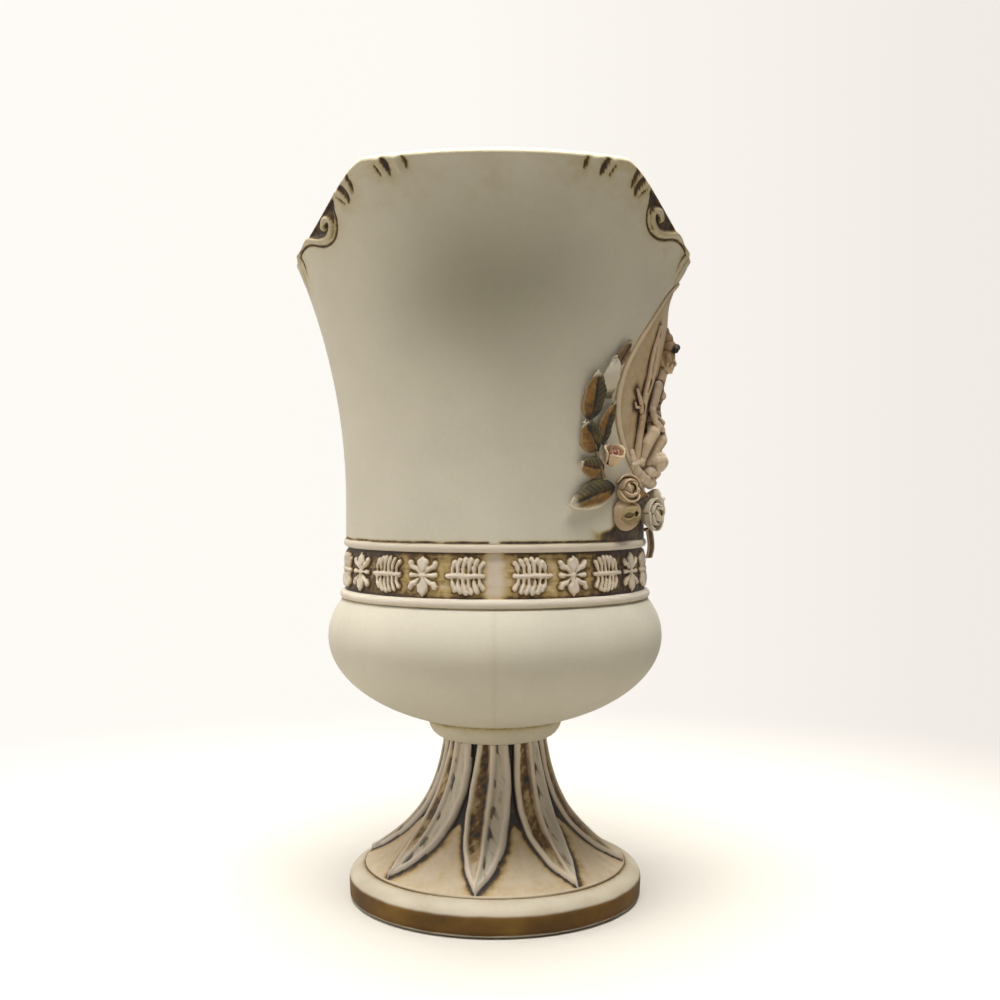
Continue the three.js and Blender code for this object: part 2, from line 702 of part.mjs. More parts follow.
function treeTrunk() {
  const trunk = ridge(
    [
      [-0.65, 0.52],
      [-0.62, 0.26],
      [-0.62, 0.0],
      [-0.64, -0.31],
      [-0.65, -0.6],
    ].map(onPlaque),
    plaqueShares([0.023, 0.034, 0.039, 0.049]),
    plaqueShares([0.031, 0.047, 0.057, 0.062]),
    0,
    6,
  );
  const branch = ridge(
    [
      [-0.63, -0.23],
      [-0.72, -0.15],
      [-0.81, -0.05],
    ].map(onPlaque),
    plaqueShares([0.026, 0.021, 0.016]),
    plaqueShares([0.041, 0.036, 0.026]),
    0,
    3,
  );
  return trunk.add(branch).subtract(plaqueSeat());
}

// The bank that the feet rest on, with the boulder that the figure sits on
function rock() {
  const bank = ridge(
    [
      [-0.67, -0.79],
      [-0.49, -0.83],
      [-0.27, -0.86],
      [0.03, -0.86],
      [0.27, -0.79],
    ].map(onPlaque),
    plaqueShares([0.036, 0.057, 0.062, 0.073, 0.041]),
    plaqueShares([0.052, 0.083, 0.093, 0.088, 0.052]),
    0,
    7,
  );
  const seat = egg([...onPlaque([0.08, -0.56]), 0], plaqueShares([0.212, 0.192, 0.114]), -6, 8);
  const boulder = egg([...onPlaque([0.018, -0.674]), 0], plaqueShares([0.197, 0.16, 0.223]), -6, 8);
  return union([bank, seat, boulder]).subtract(figure(CLEARANCE)).subtract(plaqueSeat());
}

// Leaves laid on the neck, from their foot to their tip, cupped and lifting at the tip
function leaf({ foot, tip, width, bend = 0, lift = 1.6, base = CLEARANCE }) {
  const side = new THREE.Vector2(tip[1] - foot[1], foot[0] - tip[0]).normalize();
  const across = [-1, 0, 1];
  const rise = [0.6, 1, 0.6];
  const top = [];
  const bottom = [];
  const rows = 6;
  for (let i = 0; i <= rows; i++) {
    const t = i / rows;
    const sway = bend * Math.sin(Math.PI * t);
    const u = lerp(foot[0], tip[0], t) + side.x * sway;
    const z = lerp(foot[1], tip[1], t) + side.y * sway;
    const half = (width / 2) * Math.max(0.07, Math.pow(Math.sin(Math.PI * Math.pow(t, 0.8)), 0.75));
    const curl = base + lift * t * t;
    const place = (share, h) => onNeck(u + side.x * share * half, z + side.y * share * half, h);
    top.push(across.map((share, k) => place(share, curl + LEAF_THICKNESS * rise[k])));
    bottom.push(across.map((share) => place(share, curl + 0.35 * Math.abs(share))));
  }
  return slab(top, bottom);
}

// A rose: a lobed ring of petals round a bud, on a narrow foot, facing out from the neck
function rose({ at, radius, depth = ROSE_DEPTH, lobes = 5, base = CLEARANCE, turn = 0 }) {
  const outline = [
    [0, 0],
    [0.34, 0],
    [0.8, 0.34],
    [1, 0.72],
    [0.86, 0.98],
    [0.56, 0.6],
    [0.4, 0.95],
    [0, 1],
  ];
  const spokes = Math.max(9, lobes * 2);
  const geometry = new THREE.LatheGeometry(
    outline.map(([r, y]) => new THREE.Vector2(r * radius, y * depth)),
    spokes,
  );
  const position = geometry.getAttribute("position");
  for (let i = 0; i < position.count; i++) {
    const [x, y, z] = [position.getX(i), position.getY(i), position.getZ(i)];
    const reach = Math.hypot(x, z) / radius;
    const wave = Math.cos(lobes * Math.atan2(x, z));
    const swell = 1 + 0.07 * wave * reach;
    const lift = y > depth * 0.6 ? 0.35 * wave * (reach > 0.6 ? 1 : -0.6) : 0;
    position.setXYZ(i, x * swell, y + lift, z * swell);
  }
  geometry.rotateY(radians(turn)).rotateZ(-Math.PI / 2);
  const place = onNeck(at[0], at[1], base + 0.1);
  geometry.rotateZ(Math.atan2(place.y, place.x)).translate(place.x, place.y, place.z);
  return solidOf(geometry);
}

// The ribbon end that hangs from the lowest rose and stands clear of the bead
function ribbonEnd() {
  const half = 1.5;
  const thick = 1.3;
  const top = PLAQUE_CENTRE_Z - PLAQUE_RADIUS - 11.2;
  const path = [
    [0, 0.6],
    [1.8, 1.6],
    [4.8, 2.3],
    [7.8, 2.5],
    [10.6, 2.1],
  ];
  const row = (fall, h) => [-1, 1].map((side) => onNeck(-8.6 + side * half, top - fall, h));
  return slab(
    path.map(([z, h]) => row(z, h + thick)),
    path.map(([z, h]) => row(z, h)),
  );
}

// Materials, with the colours of the tinted bisque

function clay(color, roughness = 0.62) {
  return new THREE.MeshStandardMaterial({ color, roughness, metalness: 0 });
}

const ivory = clay("#d8d3c2");
const antiqued = clay("#c9b48c");
const tan = clay("#a99878");
const cream = clay("#c6b294");
const olive = clay("#5f4c2c");
const petalWhite = clay("#d6cbb8");
const petalPink = clay("#b98a6c");
const bark = clay("#4a3a22");

const ewer = new THREE.Group();
ewer.name = "ewer";

function add(parent, name, solid, material) {
  const mesh = new THREE.Mesh(geometryOf(solid), material);
  mesh.name = name;
  parent.add(mesh);
}

add(ewer, "vessel", vessel(), ivory);
add(ewer, "pedestal_foot", pedestalFoot(), antiqued);

const medallion = new THREE.Group();
ewer.add(medallion);
add(medallion, "medallion_plaque", plaque(), tan);
add(medallion, "seated_figure", figure(), cream);
add(medallion, "tree_trunk", treeTrunk(), cream);
add(medallion, "rock_base", rock(), cream);

// The spray of leaves and flowers: one list, laid on the near side and mirrored on the far side.
// A place is an angle in degrees round the plaque from its side, and a distance from its edge.
const sprayLeaves = [
  { name: "leaf_top", foot: [-13.6, 18.6], tip: [3.3, 20.3], width: 9.6, bend: 0.8 },
  { name: "leaf_inner", foot: [-23.1, 13.4], tip: [-8.5, 8.8], width: 6.2, bend: -0.5 },
  { name: "leaf_middle", foot: [-24.7, 19.7], tip: [-15.9, 24.8], width: 7.0, bend: 0.4 },
  { name: "leaf_lower", foot: [-31, 18.1], tip: [-25.7, 26.4], width: 6.4, bend: -0.5 },
  { name: "leaf_wide", foot: [-40.6, 16.2], tip: [-34.3, 34.8], width: 9.2, bend: 0.6 },
  { name: "leaf_bottom", foot: [-55.3, 11], tip: [-67.1, 2.4], width: 5.8, bend: -0.4 },
  { name: "leaf_small", foot: [10.3, 12.8], tip: [19.9, 10.1], width: 4.2, bend: 0.2 },
];
const sprayRoses = [
  { name: "rose_upper", at: [-45.8, 11.3], radius: 4.4, turn: 20 },
  { name: "rose_round", at: [-52.4, 18.2], radius: 4.8, turn: 50 },
  { name: "rosebud", at: [-30.6, 11.3], radius: 3.6, depth: 7.0, lobes: 3, turn: 0 },
];

function roundPlaque([degrees, distance], side) {
  const reach = PLAQUE_RADIUS + distance;
  const along = reach * Math.cos(radians(degrees));
  return [side * along, PLAQUE_CENTRE_Z + reach * Math.sin(radians(degrees))];
}

function spray(group, side, label) {
  const across = (place) => roundPlaque(place, side);
  for (const { name, foot, tip, bend, ...rest } of sprayLeaves) {
    const laid = { foot: across(foot), tip: across(tip), bend: bend * -side, ...rest };
    add(group, label + "_" + name, leaf(laid), olive);
  }
  for (const { name, at, ...rest } of sprayRoses) {
    add(group, label + "_" + name, rose({ at: across(at), ...rest }), petalPink);
  }
  const petal = {
    foot: across([-7.5, 10.6]),
    tip: across([9, 11.2]),
    width: 6.2,
    lift: 2.4,
  };
  add(group, label + "_white_petal", leaf(petal), petalWhite);
  const stem = [
    [-34.8, 17.2],
    [-28.6, 16.5],
    [-22, 16.8],
    [-16.2, 17.4],
  ].map(across);
  const half = STEM_WIDTH / 2;
  add(group, label + "_stem", ridge(stem, [half, half], [1.1, 1.0], CLEARANCE, 5), bark);
}

const garland = new THREE.Group();
ewer.add(garland);
spray(garland, -1, "near");
spray(garland, 1, "far");
const centreRoses = [
  { name: "rose_left_of_centre", at: [-74.8, 8.7], radius: 5.4, depth: 7.4 },
  { name: "rose_right_of_centre", at: [-87.2, 2.6], radius: 4.3, depth: 7.4, turn: 36 },
];
for (const { name, at, ...rest } of centreRoses) {
  add(garland, name, rose({ at: roundPlaque(at, -1), ...rest }), petalWhite);
}
add(garland, "ribbon_end", ribbonEnd(), bark);

export default ewer;
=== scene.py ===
"""A footed ewer of ivory bisque porcelain: slip castings with a brown antique wash and a gilt
edge, a relief plaque, and leaves and roses modelled by hand. Metres, in the part's own frame."""
import math

import bpy
import numpy as np
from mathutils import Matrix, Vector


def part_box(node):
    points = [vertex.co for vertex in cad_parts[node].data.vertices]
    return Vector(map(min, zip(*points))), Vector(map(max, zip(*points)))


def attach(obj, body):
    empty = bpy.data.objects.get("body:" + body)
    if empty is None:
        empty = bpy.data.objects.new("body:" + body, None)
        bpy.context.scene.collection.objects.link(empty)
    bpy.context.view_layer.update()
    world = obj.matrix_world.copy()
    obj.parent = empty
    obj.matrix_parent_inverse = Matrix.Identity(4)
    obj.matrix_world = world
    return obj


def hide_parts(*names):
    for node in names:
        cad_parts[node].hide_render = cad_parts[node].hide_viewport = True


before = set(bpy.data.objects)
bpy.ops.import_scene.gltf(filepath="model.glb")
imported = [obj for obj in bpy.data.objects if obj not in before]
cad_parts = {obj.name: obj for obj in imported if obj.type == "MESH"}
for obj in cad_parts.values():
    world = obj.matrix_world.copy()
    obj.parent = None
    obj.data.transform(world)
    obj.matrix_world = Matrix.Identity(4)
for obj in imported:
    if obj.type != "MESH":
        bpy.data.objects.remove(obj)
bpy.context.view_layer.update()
MM = 0.001

# Sizes in millimetres, those of the castings read from the frame
TOTAL_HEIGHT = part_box("vessel")[1].z / MM
FOOT_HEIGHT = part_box("pedestal_foot")[1].z / MM
PLINTH_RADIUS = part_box("pedestal_foot")[1].x / MM
RING_RADIUS = PLINTH_RADIUS - 1.7
RING_WIDTH = 5.4
PLINTH_BAND_TOP = 6.4
PLINTH_TOP = 11.4
PLINTH_TOP_RADIUS = 46.8
TRUMPET_STEM_RADIUS = 14.2
TRUMPET_FOOT_RADIUS = 46.2
TRUMPET_BASE = 12.5
TRUMPET_FLARE = 17.0
COLLAR_LOW_RADIUS = 17.7
COLLAR_RADIUS = 24.2
COLLAR_HEIGHT = 6.8
COLLAR_TOP = FOOT_HEIGHT + COLLAR_HEIGHT
BOWL_RADIUS = 60.2
BOWL_RISE = 30.5  # from the collar's top to the bowl's widest level
BOWL_WIDEST = COLLAR_TOP + BOWL_RISE
BOWL_HALF_HEIGHT = BOWL_RISE / math.sqrt(1 - (COLLAR_RADIUS / BOWL_RADIUS) ** 2)
BOWL_FLOOR = 6.5
BEAD_RADIUS = 1.6
LOWER_BEAD = COLLAR_TOP + 45.6
FIELD_LOW = LOWER_BEAD + BEAD_RADIUS
FIELD_HIGH = FIELD_LOW + 15.0
UPPER_BEAD = FIELD_HIGH + BEAD_RADIUS
FRIEZE_LOW_RADIUS = 53.9
FRIEZE_HIGH_RADIUS = 53.0
NECK_BASE = UPPER_BEAD + BEAD_RADIUS
NECK_RADIUS = 53.8
NECK_WAIST = NECK_BASE + 11.8
NECK_FLARE = 28.0
NECK_POWER = 2.05
LIP_DROP = 22.4
LIP_SHOULDER = 30.5  # degrees from a side seam to where the rim begins to fall
LIP_FALL = 20.5  # degrees in which it then falls by 63%
LIP_POWER = 1.4
DIP_BASE = TOTAL_HEIGHT - 60.6
LIP_REACH = -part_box("vessel")[0].x / MM - 0.3
WALL = 3.6
NECK_FOOT = UPPER_BEAD + 0.6  # where the neck's casting is hidden behind the upper bead
PRESS_DEPTH = 3.4  # how far the wet neck gave way above the plaque
PRESS_HEIGHT = 214.0
PRESS_RISE = 11.0  # mm up or down in which it recovers
PRESS_SPREAD = 32.0  # degrees to either side in which it recovers

# The photograph's frame
PHOTO_SIDE = 1000
SENSOR_WIDTH = 36.0
FOCAL_PIXELS = 1264
EYE = (1.8, -460.0, 146.0)  # the camera's place in mm
PITCH = -0.5  # degrees, below 0 when it looks down


def linear(code):
    """The linear colour of an sRGB hex code"""
    parts = [int(code[i : i + 2], 16) / 255 for i in (1, 3, 5)]
    return [c / 12.92 if c <= 0.04045 else ((c + 0.055) / 1.055) ** 2.4 for c in parts] + [1.0]


# Surfaces

def neck_radius(z):
    """Outside radius of the neck, straight below its waist and belling out above it"""
    rise = np.clip((np.asarray(z, float) - NECK_WAIST) / (TOTAL_HEIGHT - NECK_WAIST), 0, None)
    return NECK_RADIUS + NECK_FLARE * rise**NECK_POWER


def pressed(from_front, z):
    """How many mm the wet neck gave way above the plaque, at an angle in degrees from +X"""
    off = (from_front / PRESS_SPREAD) ** 2 + ((z - PRESS_HEIGHT) / PRESS_RISE) ** 2
    return PRESS_DEPTH * np.exp(-off)


def seam_angle(angle):
    """Degrees to the nearer side seam, of an angle from the -Y seam"""
    return np.where(np.abs(angle) <= 90, np.abs(angle), 180 - np.abs(angle))


def rim_height(from_seam):
    """Height of the rim at an angle in degrees from the nearer side seam"""
    past = np.clip(np.asarray(from_seam, float) - LIP_SHOULDER, 0, None) / LIP_FALL
    return TOTAL_HEIGHT - LIP_DROP * (1 - np.exp(-(past**LIP_POWER)))


def trumpet_radius(z):
    """Outside radius of the foot, which flares towards the plinth"""
    flare = TRUMPET_FOOT_RADIUS - TRUMPET_STEM_RADIUS
    return TRUMPET_STEM_RADIUS + flare * np.exp((TRUMPET_BASE - z) / TRUMPET_FLARE)


def on_neck(u, z, h):
    """The point at u mm along the neck's girth from +X, z up and h out from its surface"""
    base = neck_radius(z)
    angle = u / base
    out = base + h - pressed(np.degrees(angle), z)
    return np.stack([out * np.cos(angle), out * np.sin(angle), z + 0 * u], -1)


# Drawing in relief: distances in mm to strokes and outlines, below 0 inside them

FAR_OFF = 1e3


def stroke(x, y, path, widths):
    """Distance from points to the edge of a stroke whose half width changes along its path"""
    edge = np.full(x.shape, FAR_OFF)
    for i in range(len(path) - 1):
        (ax, ay), (bx, by) = path[i], path[i + 1]
        dx, dy = bx - ax, by - ay
        t = np.clip(((x - ax) * dx + (y - ay) * dy) / max(dx * dx + dy * dy, 1e-9), 0, 1)
        half = widths[i] + (widths[i + 1] - widths[i]) * t
        edge = np.minimum(edge, np.hypot(x - ax - t * dx, y - ay - t * dy) - half)
    return edge


def polygon(x, y, corners):
    """Distance from points to the edge of a closed outline"""
    edge = np.abs(stroke(x, y, corners + corners[:1], [0.0] * (len(corners) + 1)))
    inside = np.zeros(x.shape, bool)
    for (ax, ay), (bx, by) in zip(corners, corners[1:] + corners[:1]):
        crosses = ((ay > y) != (by > y)) & (x < (bx - ax) * (y - ay) / (by - ay + 1e-12) + ax)
        inside ^= crosses
    return np.where(inside, -edge, edge)


def pillow(edge, soft):
    """Height from 0 to 1 of a form that rises roundly over a soft width inside its edge"""
    depth = 1 - np.clip(-edge / soft, 0, 1)
    return np.sqrt(1 - depth * depth)


def fade(distance, width):
    """1 at and inside an edge, falling off outside it"""
    return np.exp(-np.clip(distance, 0, None) / width)


def ramp(value, low, high):
    """0 up to low and 1 from high on, with a smooth rise between them"""
    t = np.clip((value - low) / (high - low), 0, 1)
    return t * t * (3 - 2 * t)


def clouding(x, y, seed):
    """Smooth irregular patches from 0 to 1, one to each unit of x and y"""

    def at(i, j):
        return np.modf(np.abs(np.sin(i * 12.9898 + j * 78.233 + seed * 37.719)) * 437.585)[0]

    i, j = np.floor(x), np.floor(y)
    u, v = ramp(x - i, 0, 1), ramp(y - j, 0, 1)
    low = at(i, j) * (1 - u) + at(i + 1, j) * u
    high = at(i, j + 1) * (1 - u) + at(i + 1, j + 1) * u
    return low * (1 - v) + high * v


def smooth_path(points, count):
    """More points on a smooth curve through the given ones"""
    points = np.array(points, float)
    padded = np.vstack([2 * points[0] - points[1], points, 2 * points[-1] - points[-2]])
    made = []
    for i in range(len(points) - 1):
        a, b, c, d = padded[i : i + 4]
        for t in np.arange(count) / count:
            made.append(
                0.5 * (2 * b + (c - a) * t + (2 * a - 5 * b + 4 * c - d) * t**2)
                + 0.5 * (3 * b - a - 3 * c + d) * t**3
            )
    made.append(points[-1])
    return [tuple(p) for p in made]


# Mesh tools

def deselect():
    """Deselects everything, since an operator acts on all that is selected"""
    bpy.ops.object.select_all(action="DESELECT")


def points_of(piece):
    """The piece's vertices in mm"""
    flat = np.empty(len(piece.data.vertices) * 3, np.float32)
    piece.data.vertices.foreach_get("co", flat)
    return flat.reshape(-1, 3).astype(float) / MM


def set_points(piece, points):
    """Moves the piece's vertices to points in mm"""
    piece.data.vertices.foreach_set("co", (np.asarray(points) * MM).astype(np.float32).ravel())
    piece.data.update()


def mark(piece, name, values):
    """Stores one number for each vertex, for the piece's material to read"""
    layer = piece.data.attributes.get(name) or piece.data.attributes.new(name, "FLOAT", "POINT")
    values = np.broadcast_to(values, len(piece.data.vertices))
    layer.data.foreach_set("value", np.ascontiguousarray(values, np.float32))


def apply_modifier(piece, kind, **settings):
    """Adds a modifier with its settings and applies it"""
    modifier = piece.modifiers.new(kind.lower(), kind)
    for key, value in settings.items():
        setattr(modifier, key, value)
    bpy.context.view_layer.objects.active = piece
    bpy.ops.object.modifier_apply(modifier=modifier.name)


def lathe(name, outline, columns):
    """An outline of (radius, height) in mm turned round the axis, as on a wheel.
    Returns the piece, and each vertex's place along the outline and angle from the -Y seam."""
    deselect()
    bpy.ops.mesh.primitive_grid_add(x_subdivisions=len(outline) - 1, y_subdivisions=1, size=1)
    piece = bpy.context.object
    piece.name = piece.data.name = name
    bpy.ops.object.mode_set(mode="EDIT")
    bpy.ops.mesh.select_all(action="SELECT")
    bpy.ops.mesh.bisect(
        plane_co=(0, 0, 0), plane_no=(0, 1, 0), clear_outer=True, clear_inner=True
    )
    bpy.ops.object.mode_set(mode="OBJECT")
    along = np.argsort(np.argsort(points_of(piece)[:, 0]))
    outline = np.array(outline, float)
    set_points(piece, np.stack([outline[along, 0], 0 * along, outline[along, 1]], -1))
    mark(piece, "row", along)
    apply_modifier(
        piece, "SCREW", steps=columns, render_steps=columns, use_merge_vertices=True,
        merge_threshold=1e-7, use_smooth_shade=True,
    )
    row = np.empty(len(piece.data.vertices), np.float32)
    piece.data.attributes["row"].data.foreach_get("value", row)
    piece.data.attributes.remove(piece.data.attributes["row"])
    points = points_of(piece)
    return piece, np.rint(row).astype(int), np.degrees(np.arctan2(points[:, 0], -points[:, 1]))


def outline_normals(outline):
    """Unit normals of an outline, pointing to the right of its way"""
    steps = np.gradient(np.array(outline, float), axis=0)
    length = np.maximum(np.hypot(steps[:, 0], steps[:, 1]), 1e-9)
    return np.stack([steps[:, 1] / length, -steps[:, 0] / length], -1)


def set_turned(piece, angle, radius, height):
    """Moves vertices to an angle in degrees from the -Y seam, a radius and a height"""
    turn = np.radians(angle)
    set_points(piece, np.stack([radius * np.sin(turn), -radius * np.cos(turn), height], -1))


def close(piece):
    """Merges doubled vertices and turns the faces outwards"""
    apply_modifier(piece, "WELD", merge_threshold=1e-6)
    deselect()
    piece.select_set(True)
    bpy.context.view_layer.objects.active = piece
    bpy.ops.object.mode_set(mode="EDIT")
    bpy.ops.mesh.select_all(action="SELECT")
    bpy.ops.mesh.normals_make_consistent(inside=False)
    bpy.ops.object.mode_set(mode="OBJECT")
    bpy.ops.object.shade_smooth()
    return piece


def fit(piece, material, slot, *nodes):
    """Gives a finished piece its material and puts it in the place of its CAD nodes"""
    piece.data.materials.clear()
    piece.data.materials.append(material)
    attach(piece, "root")
    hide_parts(*nodes)


# Materials

# A colour Mix node's sockets go by number, since its names repeat for each type of data
MIX_A = 6
MIX_B = 7
MIX_RESULT = 2


def put(tree, kind, settings=None, values=None, links=None, stops=()):
    """Adds a node with its settings, its socket values and links, and a ramp's colour stops"""
    node = tree.nodes.new(kind)
    for key, value in (settings or {}).items():
        setattr(node, key, value)
    for socket, value in (values or {}).items():
        node.inputs[socket].default_value = value
    for socket, source in (links or {}).items():
        tree.links.new(source, node.inputs[socket])
    if stops:
        elements = node.color_ramp.elements
        while len(elements) < len(stops):
            elements.new(0.5)
        for element, (place, code) in zip(elements, stops):
            element.position = place
            element.color = linear(code)
    return node


BISQUE_ROUGHNESS = 0.66
BISQUE_IOR = 1.5
MARK_LENGTH = 2.2  # the sizes of its patterns, in mm
CLOUD_SIZE = 30.0
SPECK_SIZE = 1.4
TOOTH_SIZE = 0.35
TOOTH_HEIGHT = 0.06
MOTTLE = 0.06  # how much lighter or darker the body gets


def bisque(name, stops, other_stops=None, pale="#dcd6c8"):
    """Unglazed porcelain, matte with a fine tooth. The antique wash, painted on and wiped off,
    stays in the hollows: the wash attribute moves the colour along the stops. The side
    attribute blends to a second paint and the pale one to bare or lightly rubbed clay."""
    material = bpy.data.materials.new(name)
    material.use_nodes = True
    tree = material.node_tree
    tree.nodes.clear()
    place = put(tree, "ShaderNodeTexCoord").outputs["Object"]
    wash = put(tree, "ShaderNodeAttribute", {"attribute_name": "wash"}).outputs["Fac"]
    # Brush marks in the wash
    marks = put(
        tree, "ShaderNodeTexNoise", values={"Scale": 1 / (MARK_LENGTH * MM), "Detail": 5.0},
        links={"Vector": place},
    ).outputs["Fac"]
    patchy = put(
        tree, "ShaderNodeMath", {"operation": "MULTIPLY_ADD"}, {1: 1.3, 2: 0.35},
        {0: marks},
    ).outputs[0]
    worn = put(
        tree, "ShaderNodeMath", {"operation": "MULTIPLY"}, links={0: wash, 1: patchy}
    ).outputs[0]
    painted = put(tree, "ShaderNodeValToRGB", links={0: worn}, stops=stops).outputs[0]
    if other_stops:
        side = put(tree, "ShaderNodeAttribute", {"attribute_name": "side"}).outputs["Fac"]
        other = put(tree, "ShaderNodeValToRGB", links={0: worn}, stops=other_stops).outputs[0]
        painted = put(
            tree, "ShaderNodeMix", {"data_type": "RGBA"},
            links={"Factor": side, MIX_A: painted, MIX_B: other},
        ).outputs[MIX_RESULT]
    bare = put(tree, "ShaderNodeAttribute", {"attribute_name": "pale"}).outputs["Fac"]
    rubbed = put(
        tree, "ShaderNodeMath", {"operation": "MULTIPLY", "use_clamp": True},
        links={0: bare, 1: patchy},
    ).outputs[0]
    painted = put(
        tree, "ShaderNodeMix", {"data_type": "RGBA"}, {MIX_B: linear(pale)},
        {"Factor": rubbed, MIX_A: painted},
    ).outputs[MIX_RESULT]
    # Cloudy body colour, as unglazed clay gets from years of handling
    cloud = put(
        tree, "ShaderNodeTexNoise", values={"Scale": 1 / (CLOUD_SIZE * MM), "Detail": 3.0},
        links={"Vector": place},
    ).outputs["Fac"]
    fine = put(
        tree, "ShaderNodeTexNoise", values={"Scale": 1 / (SPECK_SIZE * MM), "Detail": 4.0},
        links={"Vector": place},
    ).outputs["Fac"]
    both = put(
        tree, "ShaderNodeMath", {"operation": "MULTIPLY_ADD"}, {1: 0.35}, {0: fine, 2: cloud}
    ).outputs[0]
    value = put(
        tree, "ShaderNodeMapRange",
        values={"From Min": 0.45, "From Max": 0.9, "To Min": 1 - MOTTLE, "To Max": 1 + MOTTLE},
        links={"Value": both},
    ).outputs[0]
    body = put(
        tree, "ShaderNodeHueSaturation", links={"Color": painted, "Value": value}
    ).outputs[0]
    # The tooth of unglazed clay is finer than a pixel, so it is drawn about a pixel wide
    tooth = put(
        tree, "ShaderNodeTexNoise", values={"Scale": 1 / (TOOTH_SIZE * MM), "Detail": 3.0},
        links={"Vector": place},
    ).outputs["Fac"]
    bump = put(
        tree, "ShaderNodeBump", values={"Strength": 0.25, "Distance": TOOTH_HEIGHT * MM},
        links={"Height": tooth},
    ).outputs[0]
    shader = put(
        tree, "ShaderNodeBsdfPrincipled",
        values={"Roughness": BISQUE_ROUGHNESS, "IOR": BISQUE_IOR},
        links={"Base Color": body, "Normal": bump},
    )
    put(tree, "ShaderNodeOutputMaterial", links={"Surface": shader.outputs[0]})
    return material


IVORY = "#cfc9b8"
WASH_STOPS = [(0.0, IVORY), (0.3, "#b5a57a"), (0.62, "#5e4620"), (1.0, "#22140c")]
# Slip-cast walls: a dull ivory, brown in the carving, with painted grey shade as its side paint
ivory_bisque = bisque(
    "ivory slip-cast bisque", WASH_STOPS, [(0.0, "#96917c"), (0.5, "#5e4620"), (1.0, "#22140c")]
)
# The frieze's ground stays dark brown, and its relief is wiped back to pinkish clay
frieze_bisque = bisque(
    "antiqued frieze bisque",
    [(0.0, "#d6c9ba"), (0.3, "#b49c66"), (0.58, "#5a4018"), (0.85, "#241408")],
)
# The foot's leaves are pale where they stand out, and greyer on their right halves
foot_bisque = bisque(
    "antiqued foot bisque",
    [(0.0, "#d2c6b2"), (0.3, "#b9a074"), (0.6, "#5e4218"), (0.9, "#140b06")],
    [(0.0, "#cabfac"), (0.3, "#a3967f"), (0.6, "#4c3c26"), (0.9, "#100a06")], "#e2d6c6",
)
# The plinth is wiped nearly clean, with brown left in its groove
plinth_bisque = bisque(
    "wiped plinth bisque",
    [(0.0, "#cac1ae"), (0.3, "#a08c66"), (0.6, "#5a431c"), (1.0, "#1d120b")],
)


# Neck: one casting from behind the upper bead to the dipped rim, with its inside wall

NECK_COLUMNS = 664
ORNAMENT_RADIUS = 66.0  # radius at which the rim ornament is drawn flat
ORNAMENT_LOW = 205.0  # below this height there is none
ORNAMENT_PLACES = [20, 28, 38, 48]  # degrees from the seam
PLAQUE_SIDE_SHIFTS = [0.8, 0.4, -2.2, -3.0]  # degrees that the ornament is shifted there
# Where the neck's painted grey shade lies, and how far it spreads
PAINTED_SHADE_HEIGHT = 210.0
PAINTED_SHADE_RISE = 26.0
PAINTED_SHADE_SPREAD = 31.0

STROKE_STEPS = 4  # points drawn for each stretch between two given ones
OUTLINE_WIDTH = 0.28

# The rim ornament of one quarter: (degrees from the seam, mm below the rim)
VOLUTE = [
    (72, 0.9), (68, 0.4), (63, 0.5), (59.0, 1.8), (55.0, 4.4), (51.6, 6.7), (48.6, 7.9),
    (46.2, 7.2), (45.7, 5.7), (46.4, 4.2), (48.0, 3.3), (49.6, 4.0), (49.2, 5.1),
]
VOLUTE_WIDTHS = [0.7, 0.9, 1.0, 1.0, 1.0, 1.0, 1.0, 1.0, 1.0, 1.05, 1.1, 0.9, 0.6]
RECESS = [
    (41.8, 1.6), (43.6, 4.2), (44.4, 7.0), (46.4, 9.1), (49.0, 8.7), (52.0, 6.7),
    (55.0, 4.2), (57.6, 2.0), (57.0, 1.0), (50.0, 1.1), (45.0, 1.3),
]
OUTLINE = [
    (42.6, 2.4), (43.3, 4.6), (43.5, 7.2), (44.6, 9.4), (46.6, 10.2), (49.0, 9.7),
    (51.6, 8.5), (54.4, 6.6), (57.4, 4.4), (60.6, 2.8), (64.5, 2.0), (68.5, 1.9), (71.0, 2.4),
]
INCISED = [
    ([(20.3, 1.4), (19.8, 3.0), (19.6, 4.8)], [0.15, 0.62, 0.3]),
    ([(25.6, 1.1), (24.8, 3.0), (24.2, 4.8), (24.1, 6.4)], [0.6, 0.85, 0.7, 0.25]),
    ([(27.6, 3.2), (26.9, 4.8), (26.4, 6.2)], [0.15, 0.35, 0.15]),
    ([(35.9, 0.7), (35.8, 2.4), (35.2, 4.8), (35.3, 6.9)], [0.7, 0.6, 0.6, 0.3]),
    ([(39.9, 0.3), (38.4, 3.0), (37.4, 5.8), (37.4, 7.8)], [0.8, 1.1, 0.9, 0.3]),
    ([(41.0, 2.7), (39.8, 4.9), (38.8, 6.9)], [0.15, 0.35, 0.2]),
    ([(71.4, 2.2), (69.9, 3.6), (69.6, 5.6), (70.6, 8.0)], [0.4, 0.75, 0.6, 0.15]),
    ([(76.5, 1.8), (75.0, 4.2), (75.2, 7.3), (76.4, 10.9)], [0.2, 0.6, 0.5, 0.15]),
    ([(82.5, 3.4), (81.0, 6.2), (81.4, 8.9)], [0.15, 0.45, 0.15]),
]
